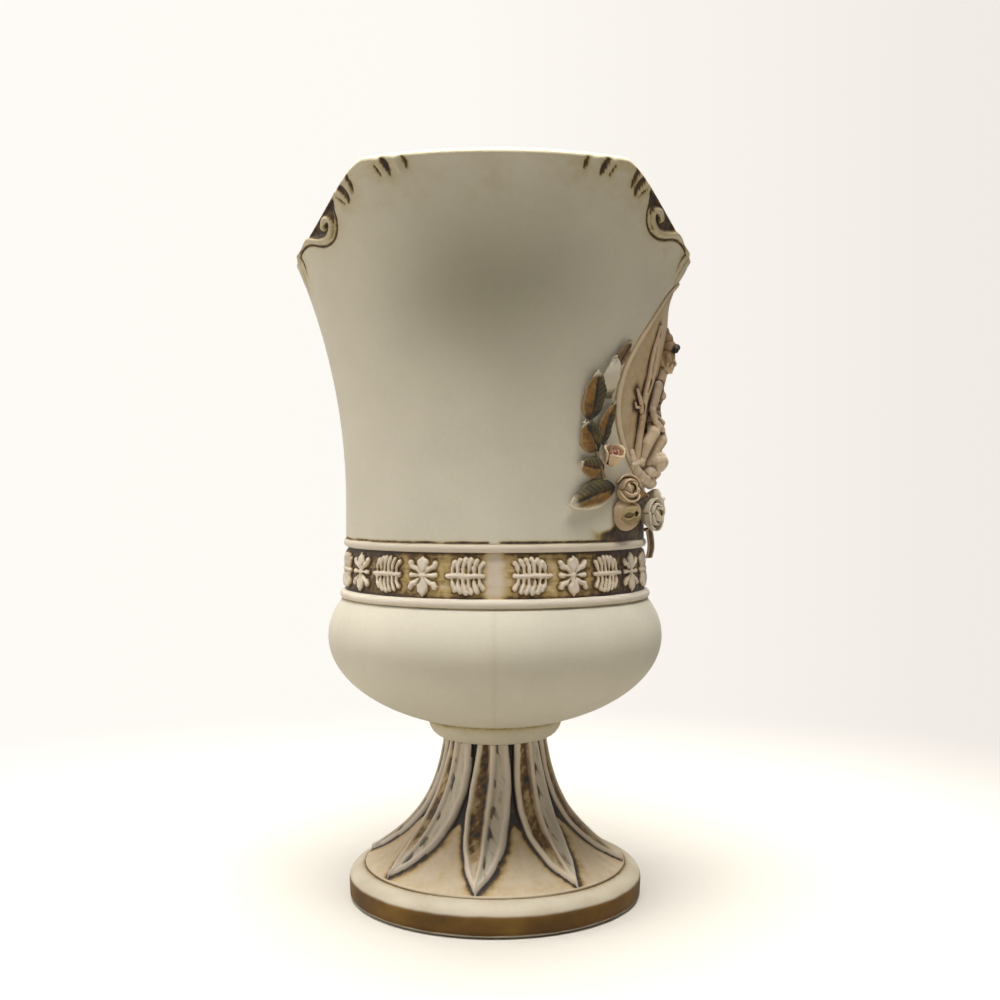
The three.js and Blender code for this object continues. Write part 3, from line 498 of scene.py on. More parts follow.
PETALS = [
    ([(22.6, 1.6), (21.6, 3.6), (21.2, 5.6)], [0.9, 1.0, 0.5]),
    ([(26.6, 2.2), (25.7, 4.1), (25.4, 6.0)], [0.9, 1.0, 0.5]),
    ([(37.9, 0.7), (36.8, 3.8), (36.4, 6.9)], [0.9, 0.9, 0.5]),
    ([(41.6, 0.7), (39.9, 3.6), (38.6, 6.3)], [0.9, 0.8, 0.4]),
    ([(73.6, 1.2), (72.4, 3.9), (72.6, 7.4)], [1.0, 1.2, 0.5]),
    ([(79.6, 2.1), (78.2, 5.2), (78.6, 9.2)], [1.0, 1.2, 0.5]),
]


def rim_ornament(from_seam, z, shifts):
    """Height and wash of the moulded ornament under the rim, shifted by some degrees at
    ORNAMENT_PLACES, since no quarter of the mould is quite like another"""
    x = np.radians(from_seam) * ORNAMENT_RADIUS

    def laid(path, count=STROKE_STEPS):
        moved = [(a + float(np.interp(a, ORNAMENT_PLACES, shifts)), d) for a, d in path]
        return smooth_path(
            [(math.radians(a) * ORNAMENT_RADIUS, rim_height(a) - d) for a, d in moved], count
        )

    def tapered(widths):
        places = np.arange((len(widths) - 1) * STROKE_STEPS + 1) / STROKE_STEPS
        return list(np.interp(places, range(len(widths)), widths))

    volute = stroke(x, z, laid(VOLUTE), tapered(VOLUTE_WIDTHS))
    recess = polygon(x, z, laid(RECESS, 2))
    outline = stroke(x, z, laid(OUTLINE), tapered([OUTLINE_WIDTH] * len(OUTLINE)))
    incised = np.full(x.shape, FAR_OFF)
    for path, widths in INCISED:
        incised = np.minimum(incised, stroke(x, z, laid(path), tapered(widths)))
    petals = np.full(x.shape, FAR_OFF)
    for path, widths in PETALS:
        petals = np.minimum(petals, stroke(x, z, laid(path), tapered(widths)))
    sunk = ramp(-recess, -0.1, 0.7) * ramp(volute, -0.1, 0.5)
    height = pillow(volute, 0.9) + 0.55 * pillow(petals, 0.9) * ramp(incised, 0, 0.5)
    height -= 0.9 * sunk + 0.5 * ramp(-outline, -0.35, 0.2) * ramp(volute, -0.1, 0.3)
    height -= 0.5 * ramp(-incised, -0.35, 0.45)
    wash = np.maximum(0.95 * ramp(-incised, -0.3, 0.35), 0.9 * ramp(-outline, -0.35, 0.15))
    wash = np.maximum(wash, 0.85 * ramp(-recess, -0.3, 0.4))
    wash *= ramp(volute, -0.45, 0.1)
    stain = 0.16 * fade(np.minimum(incised, recess), 2.5)
    return height, np.maximum(wash, stain)


def neck_outline():
    """The neck's closed outline, up outside and down inside, and how many points lie outside"""
    low = np.linspace(NECK_FOOT, NECK_BASE + 5, 20)[:-1]
    low = np.concatenate([low, np.linspace(NECK_BASE + 5, DIP_BASE, 22)[:-1]])
    shares = np.concatenate([np.linspace(0, 0.6, 15)[:-1], np.linspace(0.6, 1, 54)])
    lip = WALL / 2
    top = TOTAL_HEIGHT - lip
    outside = np.concatenate([low, DIP_BASE + shares * (top - DIP_BASE)])
    outline = [(neck_radius(z), z) for z in outside]
    turns = np.linspace(0, math.pi, 9)[1:-1]
    outline += [
        (neck_radius(top) - lip + lip * math.cos(a), top + lip * math.sin(a)) for a in turns
    ]
    outline += [(neck_radius(z) - WALL, z) for z in np.linspace(top, NECK_FOOT, 26)]
    return outline + outline[:1], len(outside)


def spread_columns(angle):
    """Packs more columns into the ornamented part of the rim"""
    dense = np.interp(seam_angle(angle) / 90, [0, 0.085, 0.985, 1], [0, 16, 87.5, 90])
    return np.sign(angle) * np.where(np.abs(angle) > 90, 180 - dense, dense)


def neck():
    """The bell of the neck, its rim dipped into two lips, with the carving below the rim"""
    outline, outside = neck_outline()
    piece, row, angle = lathe("neck_casting", outline, NECK_COLUMNS)
    angle = spread_columns(angle)
    outline = np.array(outline)
    radius, height = outline[row, 0], outline[row, 1]
    from_seam = seam_angle(angle)
    top = rim_height(from_seam)
    share = np.clip((height - DIP_BASE) / (TOTAL_HEIGHT - DIP_BASE), 0, None)
    dipped = np.where(height > DIP_BASE, DIP_BASE + share * (top - DIP_BASE), height)
    radius = radius + neck_radius(dipped) - neck_radius(height)
    relief = np.zeros(len(row))
    wash = np.zeros(len(row))
    outer = row < outside
    for toward_plaque in (False, True):
        half = outer & (dipped > ORNAMENT_LOW) & ((angle > 0) == toward_plaque)
        shifts = PLAQUE_SIDE_SHIFTS if toward_plaque else [0.0] * len(ORNAMENT_PLACES)
        relief[half], wash[half] = rim_ornament(from_seam[half], dipped[half], shifts)
    # The lips are pinched straight where they reach out furthest
    radius = np.minimum(radius, LIP_REACH / np.maximum(np.sin(np.radians(from_seam)), 0.3))
    slope = neck_radius(dipped + 0.5) - neck_radius(dipped - 0.5)
    lean = np.hypot(1, slope)
    radius = radius + relief / lean - pressed(angle - 90, dipped)
    dipped = dipped - relief * slope / lean
    # The wash lies on the upper bead, in a broken line and thick under the flowers
    rise = dipped - NECK_BASE
    broken = clouding(angle / 5, 0, 4)
    line = (0.5 + 0.5 * broken) * fade(rise - 0.1 - 0.25 * broken, 0.22) * ramp(from_seam, 1, 3)
    under_flowers = ramp(angle, 34, 46) * ramp(180 - angle, 34, 46)
    ragged = 2.4 + 4.4 * clouding(angle / 5, 0, 7) + 3 * ramp(angle, 44, 56)
    smeared = 0.7 + 0.4 * clouding(angle / 3, rise / 2, 5)
    ran_down = under_flowers * ramp(ragged - rise, 0, 2.2) * smeared
    wash = np.maximum(wash, np.where(outer, np.maximum(line, ran_down), 0))
    # Tan stains where the rim was held, and painted grey shade on each side's middle
    held = clouding(angle / 6, dipped / 5, 2) * clouding(angle / 2.1, dipped / 1.7, 9)
    wash = wash + outer * 0.3 * held * fade(top - dipped, 9)
    # The rim's rounded edge is painted a little darker: painted shade over its lit top
    wash = np.maximum(wash, 0.16 * ((row >= outside - 1) & (row < outside + 8)))
    # Painted shade: a soft grey patch below the rim, centred on each side's middle
    off_seam = np.radians(from_seam) * NECK_RADIUS
    off_painted_shade = (off_seam / PAINTED_SHADE_SPREAD) ** 2 + ((dipped - PAINTED_SHADE_HEIGHT) / PAINTED_SHADE_RISE) ** 2
    painted_shade = np.exp(-off_painted_shade)
    set_turned(piece, angle, radius, dipped)
    mark(piece, "wash", np.clip(wash, 0, 1))
    mark(piece, "side", np.where(outer, 0.85 * painted_shade, 0))
    return close(piece)


# Frieze: two beads and, between them, palmettes and rosettes in relief

FRIEZE_FIRST_LEFT = 9.8  # degrees from the seam to the first palmette, as the mould was pressed
FRIEZE_FIRST_RIGHT = 12.9
FRIEZE_LAST = 11.5  # and from the last one to the far seam
FRIEZE_STEPS = 10
FRIEZE_COLUMNS = 1120
FRIEZE_RELIEF = 1.35
BEAD_ROWS = 14
FIELD_ROWS = 46
BARB_REACHES = [4.4, 5.1, 5.4, 5.3, 4.9, 4.0]


def palmette_edge(x, y):
    """A stem with a knob at its foot and a pair of round-ended barbs for each reach"""
    edge = stroke(x, y, [(-6.7, 0), (-5.2, 0), (5.6, 0)], [0.7, 1.05, 0.85])
    for i, reach in enumerate(BARB_REACHES):
        root = -4.6 + 1.8 * i
        path = [(root, 0.7), (root + 0.1, 0.6 * reach), (root + 1.0, reach)]
        edge = np.minimum(edge, stroke(x, np.abs(y), path, [0.5, 0.78, 0.98]))
    return edge


def rosette_edge(x, y):
    """Round a small boss, pointed petals up and down, and on each side a straight one between
    two that curl"""
    edge = stroke(x, y, [(0, 1.0), (0, 3.9), (0, 6.3)], [0.8, 2.2, 0.4])
    low = stroke(x, y, [(0, -1.0), (0, -4.2), (0, -6.8)], [0.8, 2.3, 0.4])
    edge = np.minimum(edge, low)
    edge = np.minimum(edge, stroke(np.abs(x), y, [(1.2, 0), (4.5, 0)], [0.5, 0.95]))
    curl = [(1.1, 1.0), (2.6, 2.4), (4.1, 2.9), (4.5, 3.9)]
    edge = np.minimum(edge, stroke(np.abs(x), np.abs(y), curl, [0.5, 0.9, 0.95, 1.1]))
    return np.minimum(edge, np.hypot(x, y) - 1.3)


def frieze_outline():
    """The band's closed outline, bead, field and bead, and the row where the field begins"""

    def bead(radius, z, start, stop, count):
        turns = np.radians(np.linspace(start, stop, count))
        return [(radius + BEAD_RADIUS * math.cos(a), z + BEAD_RADIUS * math.sin(a)) for a in turns]

    back = NECK_RADIUS - 1.7
    field = np.linspace(FIELD_LOW + 0.1, FIELD_HIGH - 0.1, FIELD_ROWS)
    outline = [(back, LOWER_BEAD - 2.2), (back + 2.2, LOWER_BEAD - 1.9)]
    outline += bead(FRIEZE_LOW_RADIUS + 0.4, LOWER_BEAD, -70, 95, BEAD_ROWS)
    field_row = len(outline)
    outline += [
        (np.interp(z, [FIELD_LOW, FIELD_HIGH], [FRIEZE_LOW_RADIUS, FRIEZE_HIGH_RADIUS]), z)
        for z in field
    ]
    outline += bead(FRIEZE_HIGH_RADIUS, UPPER_BEAD, -95, 80, BEAD_ROWS)
    outline += [(FRIEZE_HIGH_RADIUS - 0.3, UPPER_BEAD + 1.9), (back, UPPER_BEAD + 1.9)]
    return outline + outline[:1], field_row


def frieze():
    """The band of palmettes and rosettes between its beads"""
    outline, field_row = frieze_outline()
    piece, row, angle = lathe("frieze_band", outline, FRIEZE_COLUMNS)
    outline = np.array(outline)
    radius, height = outline[row, 0], outline[row, 1]
    in_field = (row >= field_row) & (row < field_row + FIELD_ROWS)
    girth = math.radians(1) * FRIEZE_LOW_RADIUS
    y = height - (FIELD_LOW + FIELD_HIGH) / 2
    away = np.abs(angle)
    first = np.where(angle > 0, FRIEZE_FIRST_RIGHT, FRIEZE_FIRST_LEFT)
    pitch = (180 - first - FRIEZE_LAST) / FRIEZE_STEPS
    index = np.clip(np.rint((away - first) / pitch), 0, FRIEZE_STEPS)
    x = (away - first - index * pitch) * girth
    edge = np.where(index % 2 == 0, palmette_edge(-x, y), rosette_edge(x, y))
    edge = edge + 0.5 * (clouding(away * girth / 1.1, y / 1.1, 11) - 0.5)
    # The crispness of the mould is lost beside the seams
    crisp = ramp(away, 1.5, 5) * ramp(180 - away, 1.5, 5)
    lifted = np.where(in_field, FRIEZE_RELIEF * pillow(edge, 1.1) * (0.25 + 0.75 * crisp), 0)
    # The ground was brushed along the band, thin at the seams and thick towards the sides
    along = away * girth
    streaks = 0.6 * clouding(along / 9, y / 0.9, 1) + 0.4 * clouding(along / 2.5, y / 0.5, 2)
    full = ramp(np.minimum(away, 180 - away), 18, 62)
    from_bead = np.minimum(height - FIELD_LOW, FIELD_HIGH - height)
    ground = 0.08 + 0.3 * streaks + 0.4 * full + (0.45 + 0.3 * full) * fade(edge, 0.34)
    ground = ground + (0.6 + 0.2 * full) * fade(from_bead - 0.15, 0.6)
    ground = np.clip(ground, 0, 1) * ramp(edge, -0.3, 0.1) * (0.3 + 0.7 * crisp)
    stained = 0.07 * clouding(along / 1.7, y / 1.7, 3) * crisp
    wash = np.where(in_field, ground + stained, 0.03)
    under = fade(height - (LOWER_BEAD - 1.5), 0.28) * (0.5 + 0.4 * clouding(along / 6, 0, 6))
    over = fade(UPPER_BEAD + 1.3 - height, 0.25) * (0.35 + 0.65 * clouding(along / 5, 0, 4))
    wash = np.maximum(wash, np.where(in_field, 0, np.maximum(under, over)))
    set_turned(piece, angle, radius + lifted, height)
    mark(piece, "wash", np.clip(wash, 0, 1))
    mark(piece, "pale", np.where(in_field, 0.25 * ramp(-edge, 0, 0.5), 0.45) * (1 - wash))
    return close(piece)


# Bowl and collar, with the wall behind the frieze

BOWL_COLUMNS = 256


def bowl():
    """The collar and the round bowl as one hollow form, up to behind the upper bead"""
    collar = [
        (
            COLLAR_LOW_RADIUS + (COLLAR_RADIUS - COLLAR_LOW_RADIUS) * math.sin(a),
            COLLAR_TOP - COLLAR_HEIGHT * math.cos(a),
        )
        for a in np.linspace(0, math.pi / 2, 9)
    ]
    start = math.asin((COLLAR_TOP + 0.5 - BOWL_WIDEST) / BOWL_HALF_HEIGHT)
    stop = math.asin((LOWER_BEAD - 1.6 - BOWL_WIDEST) / BOWL_HALF_HEIGHT)
    wall = [
        (BOWL_RADIUS * math.cos(a), BOWL_WIDEST + BOWL_HALF_HEIGHT * math.sin(a))
        for a in np.linspace(start, stop, 40)
    ]
    behind = [(NECK_RADIUS - 1.2, LOWER_BEAD - 1.2), (NECK_RADIUS - 1.9, NECK_FOOT)]
    floor = COLLAR_TOP + BOWL_FLOOR
    inner = BOWL_HALF_HEIGHT - WALL
    low = math.asin(max(-1, (floor - BOWL_WIDEST) / inner))
    high = math.asin((LOWER_BEAD - 5 - BOWL_WIDEST) / inner)
    inside = [(NECK_RADIUS - WALL, NECK_FOOT), (NECK_RADIUS - WALL, LOWER_BEAD)]
    inside += [
        ((BOWL_RADIUS - WALL) * math.cos(a), BOWL_WIDEST + inner * math.sin(a))
        for a in np.linspace(high, low, 24)
    ]
    outline = [(0, FOOT_HEIGHT + 0.05)] + collar + wall + behind + inside + [(0, floor)]
    piece, row, angle = lathe("bowl_casting", outline, BOWL_COLUMNS)
    height = np.array(outline)[row, 1]
    seam = 0.06 * fade(np.abs(angle) - 0.3, 0.5) * (height < LOWER_BEAD)
    collar_line = 0.45 * fade(np.abs(height - COLLAR_TOP), 0.5)
    on_collar = 0.05 + 0.3 * fade(COLLAR_TOP - height, 1.2)
    on_collar = on_collar * (height < COLLAR_TOP)
    mark(piece, "wash", np.maximum(np.maximum(seam, collar_line), on_collar))
    return close(piece)


# Foot: the trumpet with its eight acanthus leaves, and the plinth

ACANTHUS_FIRST = -7.0
ACANTHUS_PITCH = 45.0
ACANTHUS_PLACES = [0, 0.19, 0.31, 0.43, 0.51, 0.59, 0.69, 0.81, 0.895, 0.965, 1.0]
ACANTHUS_HALF_WIDTHS = [5.4, 6.8, 7.5, 7.7, 7.75, 7.6, 6.9, 5.3, 3.3, 1.3, 0.2]
TRUMPET_ROWS = 132
TRUMPET_COLUMNS = 608
TRUMPET_WALL = 4.4
HOLLOW_TOP = 46.0  # height to which the foot is open from below
PLINTH_COLUMNS = 288
BORDER = 1.5  # plain edge of an acanthus leaf


def trumpet_outline():
    """The foot's outline, from its hollow round the skirt and up the slope, and that slope's
    length"""
    z = np.linspace(FOOT_HEIGHT - 0.1, TRUMPET_BASE, 2000)
    r = trumpet_radius(z)
    length = np.concatenate([[0], np.cumsum(np.hypot(np.diff(z), np.diff(r)))])
    even = np.interp(np.linspace(0, length[-1], TRUMPET_ROWS), length, z)
    slope = [(trumpet_radius(height), height) for height in even]
    edge = TRUMPET_FOOT_RADIUS
    skirt = [(edge + 0.5, TRUMPET_BASE - 0.35), (edge + 0.7, TRUMPET_BASE - 0.9)]
    skirt += [(edge + 0.3, PLINTH_TOP - 0.1), (edge - 4, PLINTH_TOP - 0.2)]
    inside = np.linspace(TRUMPET_BASE, HOLLOW_TOP, 12)
    hollow = [(trumpet_radius(height) - TRUMPET_WALL, height) for height in inside]
    outline = [(0, FOOT_HEIGHT - 0.1)] + slope + skirt + hollow + [(0, HOLLOW_TOP + 0.2)]
    return outline[::-1], length[-1]


def trumpet():
    """The flared foot with its eight leaves, whose tips reach the plinth"""
    outline, length = trumpet_outline()
    piece, row, angle = lathe("acanthus_trumpet", outline, TRUMPET_COLUMNS)
    normals = outline_normals(outline)
    outline = np.array(outline)
    first = len(outline) - 1 - TRUMPET_ROWS
    share = (len(outline) - 2 - row) / (TRUMPET_ROWS - 1)
    on_slope = (row >= first) & (row < len(outline) - 1)
    share = np.clip(share, 0, 1)
    radius, height = outline[row, 0], outline[row, 1]
    half_pitch = ACANTHUS_PITCH / 2
    off = (angle - ACANTHUS_FIRST + half_pitch) % ACANTHUS_PITCH - half_pitch
    leaf_number = np.rint((angle - ACANTHUS_FIRST - off) / ACANTHUS_PITCH)
    sway = 0.5 * np.sin(share * 4 + leaf_number * 1.7)
    s = share * length
    waver = 0.1 * np.sin(s * 2 * math.pi / 11 + leaf_number)
    half = np.interp(share, ACANTHUS_PLACES, ACANTHUS_HALF_WIDTHS) + waver * ramp(share, 0.1, 0.4)
    # The mesh's columns follow the leaves' edges, of which each leaf keeps half the columns
    reach = np.degrees(np.maximum(half + 0.4, 2.0) / radius)
    across = np.abs(off) / half_pitch
    beyond = reach + (2 * across - 1) * (half_pitch - reach)
    off = np.sign(off) * np.where(across < 0.5, 2 * across * reach, beyond)
    # and twist a little with them on their way down
    twist = 4.5 * ramp(0.6 - share, 0, 0.6) - 1.0 * ramp(share, 0.6, 1)
    angle = ACANTHUS_FIRST + leaf_number * ACANTHUS_PITCH + off + twist
    x = np.radians(off) * radius
    edge = np.abs(x) - half
    rib = np.abs(x - sway * 0.6) - np.interp(share, [0, 1], [0.75, 0.45])
    # Between the rib and a rounded border each half is hollowed by strokes of a tool
    hollow = ramp(-edge, BORDER, BORDER + 1.1) * ramp(rib, 0.1, 1.0) * ramp(1 - share, 0.03, 0.14)
    strokes = clouding((s - 1.1 * np.abs(x)) / 1.15 + leaf_number * 9, np.abs(x) / 3.2, 5)
    patches = clouding(x / 2.6 + leaf_number * 7, s / 4.5, 3)
    left = ramp(-x, -0.3, 0.3)
    depth = (0.45 + 0.45 * left) * (0.7 + 0.5 * strokes)
    rise = 1.4 * ramp(-edge, -0.5, 1.2) - depth * hollow + 0.6 * ramp(-rib, -0.3, 0.4)
    gap_depth = -0.8 * ramp(edge, 0, 0.6) * ramp(0.6 - share, 0, 0.1)
    relief = np.where(on_slope, rise * ramp(1 - share, 0, 0.02) + gap_depth, 0)
    radius = radius + relief * normals[row, 0]
    height = height + relief * normals[row, 1]
    # The wash was brushed into each leaf's left half and dotted along the rib on its right
    brushed = (0.22 + 0.42 * patches + 0.3 * strokes) * ramp(0.86 - share, 0, 0.2)
    brushed = brushed + 0.5 * fade(rib - 0.2, 0.9) * ramp(0.8 - share, 0, 0.3)
    dots = ramp(clouding(x / 1.3, (s - 1.6 * np.abs(x)) / 2.8 + leaf_number * 5, 8), 0.5, 0.72)
    dotted = 0.04 + 0.95 * dots * fade(rib - 0.6, 1.3)
    inside = np.maximum(hollow * left * brushed, (1 - left) * ramp(rib, 0, 0.3) * dotted)
    rib_line = 0.95 * fade(np.abs(rib - 0.4), 0.45) * ramp(1 - share, 0.04, 0.2)
    rib_line = rib_line * (0.55 + 0.45 * left) * (0.6 + 0.4 * patches)
    line = fade(edge - 0.4, 0.9) * (0.8 + 0.3 * clouding(s / 2.5, x / 5, 6))
    # Outside each leaf's right edge, low down, a soft brown band is painted shadow of the leaf
    line = line + 0.3 * fade(edge - 1.0, 2.4) * ramp(x, -1, 1) * ramp(share, 0.5, 0.7)
    # Near-black in the upper gaps between leaves: dark wash, deepened with painted shade of the deep
    # gap
    gap_wash_and_shade = ramp(0.6 - share - 0.035 * np.clip(edge, 0, 2), 0, 0.05)
    in_gap = 0.08 + 0.14 * patches + line + gap_wash_and_shade
    wash = np.where(edge < 0, np.maximum(inside, rib_line), in_gap)
    wash = np.maximum(wash, 0.95 * fade(np.abs(edge - 0.35) - 0.3, 0.4) * ramp(share, 0, 0.1))
    wash = np.where(on_slope, wash, 0.1)
    mark(piece, "side", np.where(on_slope, (1 - left) * (edge < 0), 0))
    mark(piece, "pale", np.where(on_slope & (edge < 0), 0.5 * (1 - hollow) * (1 - rib_line), 0))
    set_turned(piece, angle, radius, height)
    mark(piece, "wash", np.clip(wash, 0, 1))
    return close(piece)


def plinth():
    """The round plinth, standing on a thin ring"""
    ring_inside = RING_RADIUS - RING_WIDTH
    shoulder = [
        (
            PLINTH_TOP_RADIUS - 0.6 + (PLINTH_RADIUS - PLINTH_TOP_RADIUS + 0.6) * math.cos(a),
            PLINTH_BAND_TOP + (PLINTH_TOP - PLINTH_BAND_TOP) * math.sin(a),
        )
        for a in np.linspace(0, math.pi / 2, 16)
    ]
    band = [
        (PLINTH_RADIUS - 0.25 * (1 - t), 1.0 + t * (PLINTH_BAND_TOP - 1.2))
        for t in (0, 0.3, 0.6, 1)
    ]
    outline = [(ring_inside, 0), (ring_inside + 0.6, 0), (RING_RADIUS - 0.5, 0), (RING_RADIUS, 0.2)]
    outline += band + shoulder + [(PLINTH_TOP_RADIUS - 4, PLINTH_TOP)]
    outline += [(ring_inside - 1.2, PLINTH_TOP - 0.5), (ring_inside, PLINTH_BAND_TOP), (ring_inside, 0)]
    piece, row, angle = lathe("plinth_casting", outline, PLINTH_COLUMNS)
    height = np.array(outline)[row, 1]
    radius = np.array(outline)[row, 0]
    from_seam = seam_angle(angle)
    groove = (0.15 + 0.6 * ramp(from_seam, 12, 45)) * fade(np.abs(radius - PLINTH_TOP_RADIUS), 0.6)
    smeared = 0.1 * clouding(angle / 9, height / 3, 2)
    mark(piece, "wash", groove * (height > PLINTH_TOP - 0.8) + smeared)
    return close(piece)


GILT_LOW = (1.5, 1.8)  # heights between which the gilt's lower edge fades in
GILT_HIGH = (8.3, 7.5)
GILT_WAVER = 0.7  # how far its edges stray from a true circle
WAVER_LENGTH = 9.0
STREAK_LENGTH = 14.0


def gilt_plinth():
    """The foot's bisque with its edge banded in worn bronze-gilt, brushed on by hand"""
    material = plinth_bisque.copy()
    material.name = "gilt-banded plinth bisque"
    tree = material.node_tree
    place = put(tree, "ShaderNodeTexCoord").outputs["Object"]
    height = put(tree, "ShaderNodeSeparateXYZ", links={0: place}).outputs["Z"]
    waver = put(
        tree, "ShaderNodeTexNoise", values={"Scale": 1 / (WAVER_LENGTH * MM), "Detail": 2.0},
        links={"Vector": place},
    ).outputs["Fac"]
    level = put(
        tree, "ShaderNodeMath", {"operation": "MULTIPLY_ADD"}, {1: GILT_WAVER * MM},
        {0: waver, 2: height},
    ).outputs[0]
    low = put(
        tree, "ShaderNodeMapRange",
        values={"From Min": GILT_LOW[0] * MM, "From Max": GILT_LOW[1] * MM},
        links={"Value": level},
    ).outputs[0]
    high = put(
        tree, "ShaderNodeMapRange",
        values={"From Min": GILT_HIGH[0] * MM, "From Max": GILT_HIGH[1] * MM},
        links={"Value": level},
    ).outputs[0]
    banded = put(
        tree, "ShaderNodeMath", {"operation": "MULTIPLY"}, links={0: low, 1: high}
    ).outputs[0]
    streaks = put(
        tree, "ShaderNodeTexNoise", values={"Scale": 1 / (STREAK_LENGTH * MM), "Detail": 3.0},
        links={"Vector": place},
    ).outputs["Fac"]
    gold = put(
        tree, "ShaderNodeValToRGB", links={0: streaks},
        stops=[(0.35, "#53390a"), (0.55, "#6a4a11"), (0.75, "#7c5c1c")],
    ).outputs[0]
    gilt = put(
        tree, "ShaderNodeBsdfPrincipled", values={"Roughness": 0.6, "Metallic": 0.2},
        links={"Base Color": gold},
    )
    output = next(n for n in tree.nodes if n.type == "OUTPUT_MATERIAL")
    clay = next(n for n in tree.nodes if n.type == "BSDF_PRINCIPLED" and n != gilt)
    mixed = put(
        tree, "ShaderNodeMixShader", links={0: banded, 1: clay.outputs[0], 2: gilt.outputs[0]}
    )
    tree.links.new(mixed.outputs[0], output.inputs["Surface"])
    return material


fit(neck(), ivory_bisque, "ivory_bisque", "vessel")
fit(frieze(), frieze_bisque, "antiqued_bisque", "vessel")
fit(bowl(), ivory_bisque, "ivory_bisque", "vessel")
fit(trumpet(), foot_bisque, "antiqued_bisque", "pedestal_foot")
fit(plinth(), gilt_plinth(), "antiqued_bisque", "pedestal_foot")


# Clay worked by hand: balls pressed together, sheets curled into petals and leaves

def sheet(name, rows, columns):
    """A flat sheet, and for each vertex its share along (0 to 1) and across (-1 to 1)"""
    deselect()
    bpy.ops.mesh.primitive_grid_add(x_subdivisions=rows, y_subdivisions=columns, size=2)
    piece = bpy.context.object
    piece.name = piece.data.name = name
    flat = points_of(piece) * MM
    return piece, (flat[:, 0] + 1) / 2, flat[:, 1]


def copies(piece, count):
    """Repeats a piece's mesh in place; returns each vertex's copy number and first coordinates"""
    apply_modifier(
        piece, "ARRAY", count=count, use_relative_offset=False, use_constant_offset=True,
        constant_offset_displace=(0, 0, 0),
    )
    flat = points_of(piece)
    return np.repeat(np.arange(count), len(flat) // count), flat


def clump(name, balls, voxel, smoothing):
    """Balls of clay (place, half sizes, turn about Z, lean) pressed into one form"""
    deselect()
    bpy.ops.mesh.primitive_uv_sphere_add(segments=14, ring_count=9, radius=MM)
    piece = bpy.context.object
    piece.name = piece.data.name = name
    number, unit = copies(piece, len(balls))
    places = np.array([ball[0] for ball in balls])[number]
    unit = unit * np.array([ball[1] for ball in balls])[number]
    turn = np.array([ball[2] for ball in balls])[number]
    lean = np.array([ball[3] for ball in balls])[number]
    x = unit[:, 0]
    y = unit[:, 1] * np.cos(lean) - unit[:, 2] * np.sin(lean)
    z = unit[:, 1] * np.sin(lean) + unit[:, 2] * np.cos(lean)
    turned = [x * np.cos(turn) - y * np.sin(turn), x * np.sin(turn) + y * np.cos(turn), z]
    set_points(piece, places + np.stack(turned, -1))
    return fuse(piece, voxel, smoothing)


def fuse(piece, voxel, smoothing):
    """Melts the shells of a piece into one skin"""
    apply_modifier(piece, "REMESH", mode="VOXEL", voxel_size=voxel * MM)
    apply_modifier(piece, "SMOOTH", factor=0.5, iterations=smoothing)
    deselect()
    piece.select_set(True)
    bpy.ops.object.shade_smooth()
    return piece


def ball(u, z, h, along, up, out, lean=0.0):
    """A ball on the neck with its half sizes along the girth, upwards and outwards"""
    place = on_neck(np.float64(u), np.float64(z), h)
    return place, (out, along, up), math.atan2(place[1], place[0]), math.radians(lean)


def strand(path, radii):
    """Balls along a smooth path of places on the neck"""
    fine = np.array(smooth_path(path, 12)) if len(path) > 2 else np.linspace(path[0], path[1], 40)
    length = np.concatenate([[0], np.cumsum(np.linalg.norm(np.diff(fine, axis=0), axis=1))])
    stations = np.linspace(0, length[-1], len(radii))
    balls = []
    place = 0.0
    while place <= length[-1]:
        at = [np.interp(place, length, fine[:, k]) for k in range(3)]
        r = np.interp(place, stations, radii)
        balls.append(ball(*at, r, r, r))
        place += 0.55 * r
    return balls


def bone(start, end, start_radius, end_radius):
    """Balls along a straight line from one place on the neck to another"""
    return strand([start, end], [start_radius, end_radius])


def cavity(piece, rounds):
    """How many mm each vertex lies below the mean of its surroundings"""
    mesh = piece.data
    pairs = np.empty(len(mesh.edges) * 2, np.int32)
    mesh.edges.foreach_get("vertices", pairs)
    a, b = pairs.reshape(-1, 2).T
    points = points_of(piece)
    size = len(points)
    count = np.maximum(np.bincount(np.concatenate([a, b]), minlength=size), 1)[:, None]
    mean = points.copy()
    for _ in range(rounds):
        mean = np.stack(
            [np.bincount(a, mean[b, k], size) + np.bincount(b, mean[a, k], size) for k in range(3)],
            -1,
        ) / count
    normals = np.empty(size * 3, np.float32)
    mesh.vertices.foreach_get("normal", normals)
    return ((mean - points) * normals.reshape(-1, 3)).sum(1)


def antique(piece, depth, rounds, base=0.0):
    """Leaves the wash in a form's hollows, as once it is wiped, and returns how hollow it is"""
    hollow = cavity(piece, rounds)
    mark(piece, "wash", np.clip(base + hollow / depth, 0, 1))
    return hollow


# Cream clay with brown in its hollows. Its side paint is the near black of the curls.
cream_relief = bisque(
    "cream relief bisque",
    [(0.0, "#bfa584"), (0.3, "#8f6f4a"), (0.65, "#4e2f17"), (1.0, "#1a0b05")],
    [(0.0, "#22120a"), (0.5, "#180a05"), (1.0, "#100502")], "#e2d0b6",
)
# The tile is stained tan all over, and darker round what stands on it
plaque_tan = bisque(
    "tan-stained plaque bisque",
    [(0.0, "#cdbb9c"), (0.3, "#b0966e"), (0.65, "#5e4122"), (1.0, "#1e0d06")],
    None, "#dccdb4",
)
# Leaves are painted ochre on one half and olive green on the other, and rubbed at the tip
olive_leaf = bisque(
    "olive and ochre painted leaf bisque",
    [(0.0, "#a07e48"), (0.3, "#7d5a26"), (0.6, "#4c3312"), (1.0, "#1c1207")],
    [(0.0, "#77693c"), (0.3, "#4a411e"), (0.6, "#28220f"), (1.0, "#120e06")], "#ddd2ba",
)
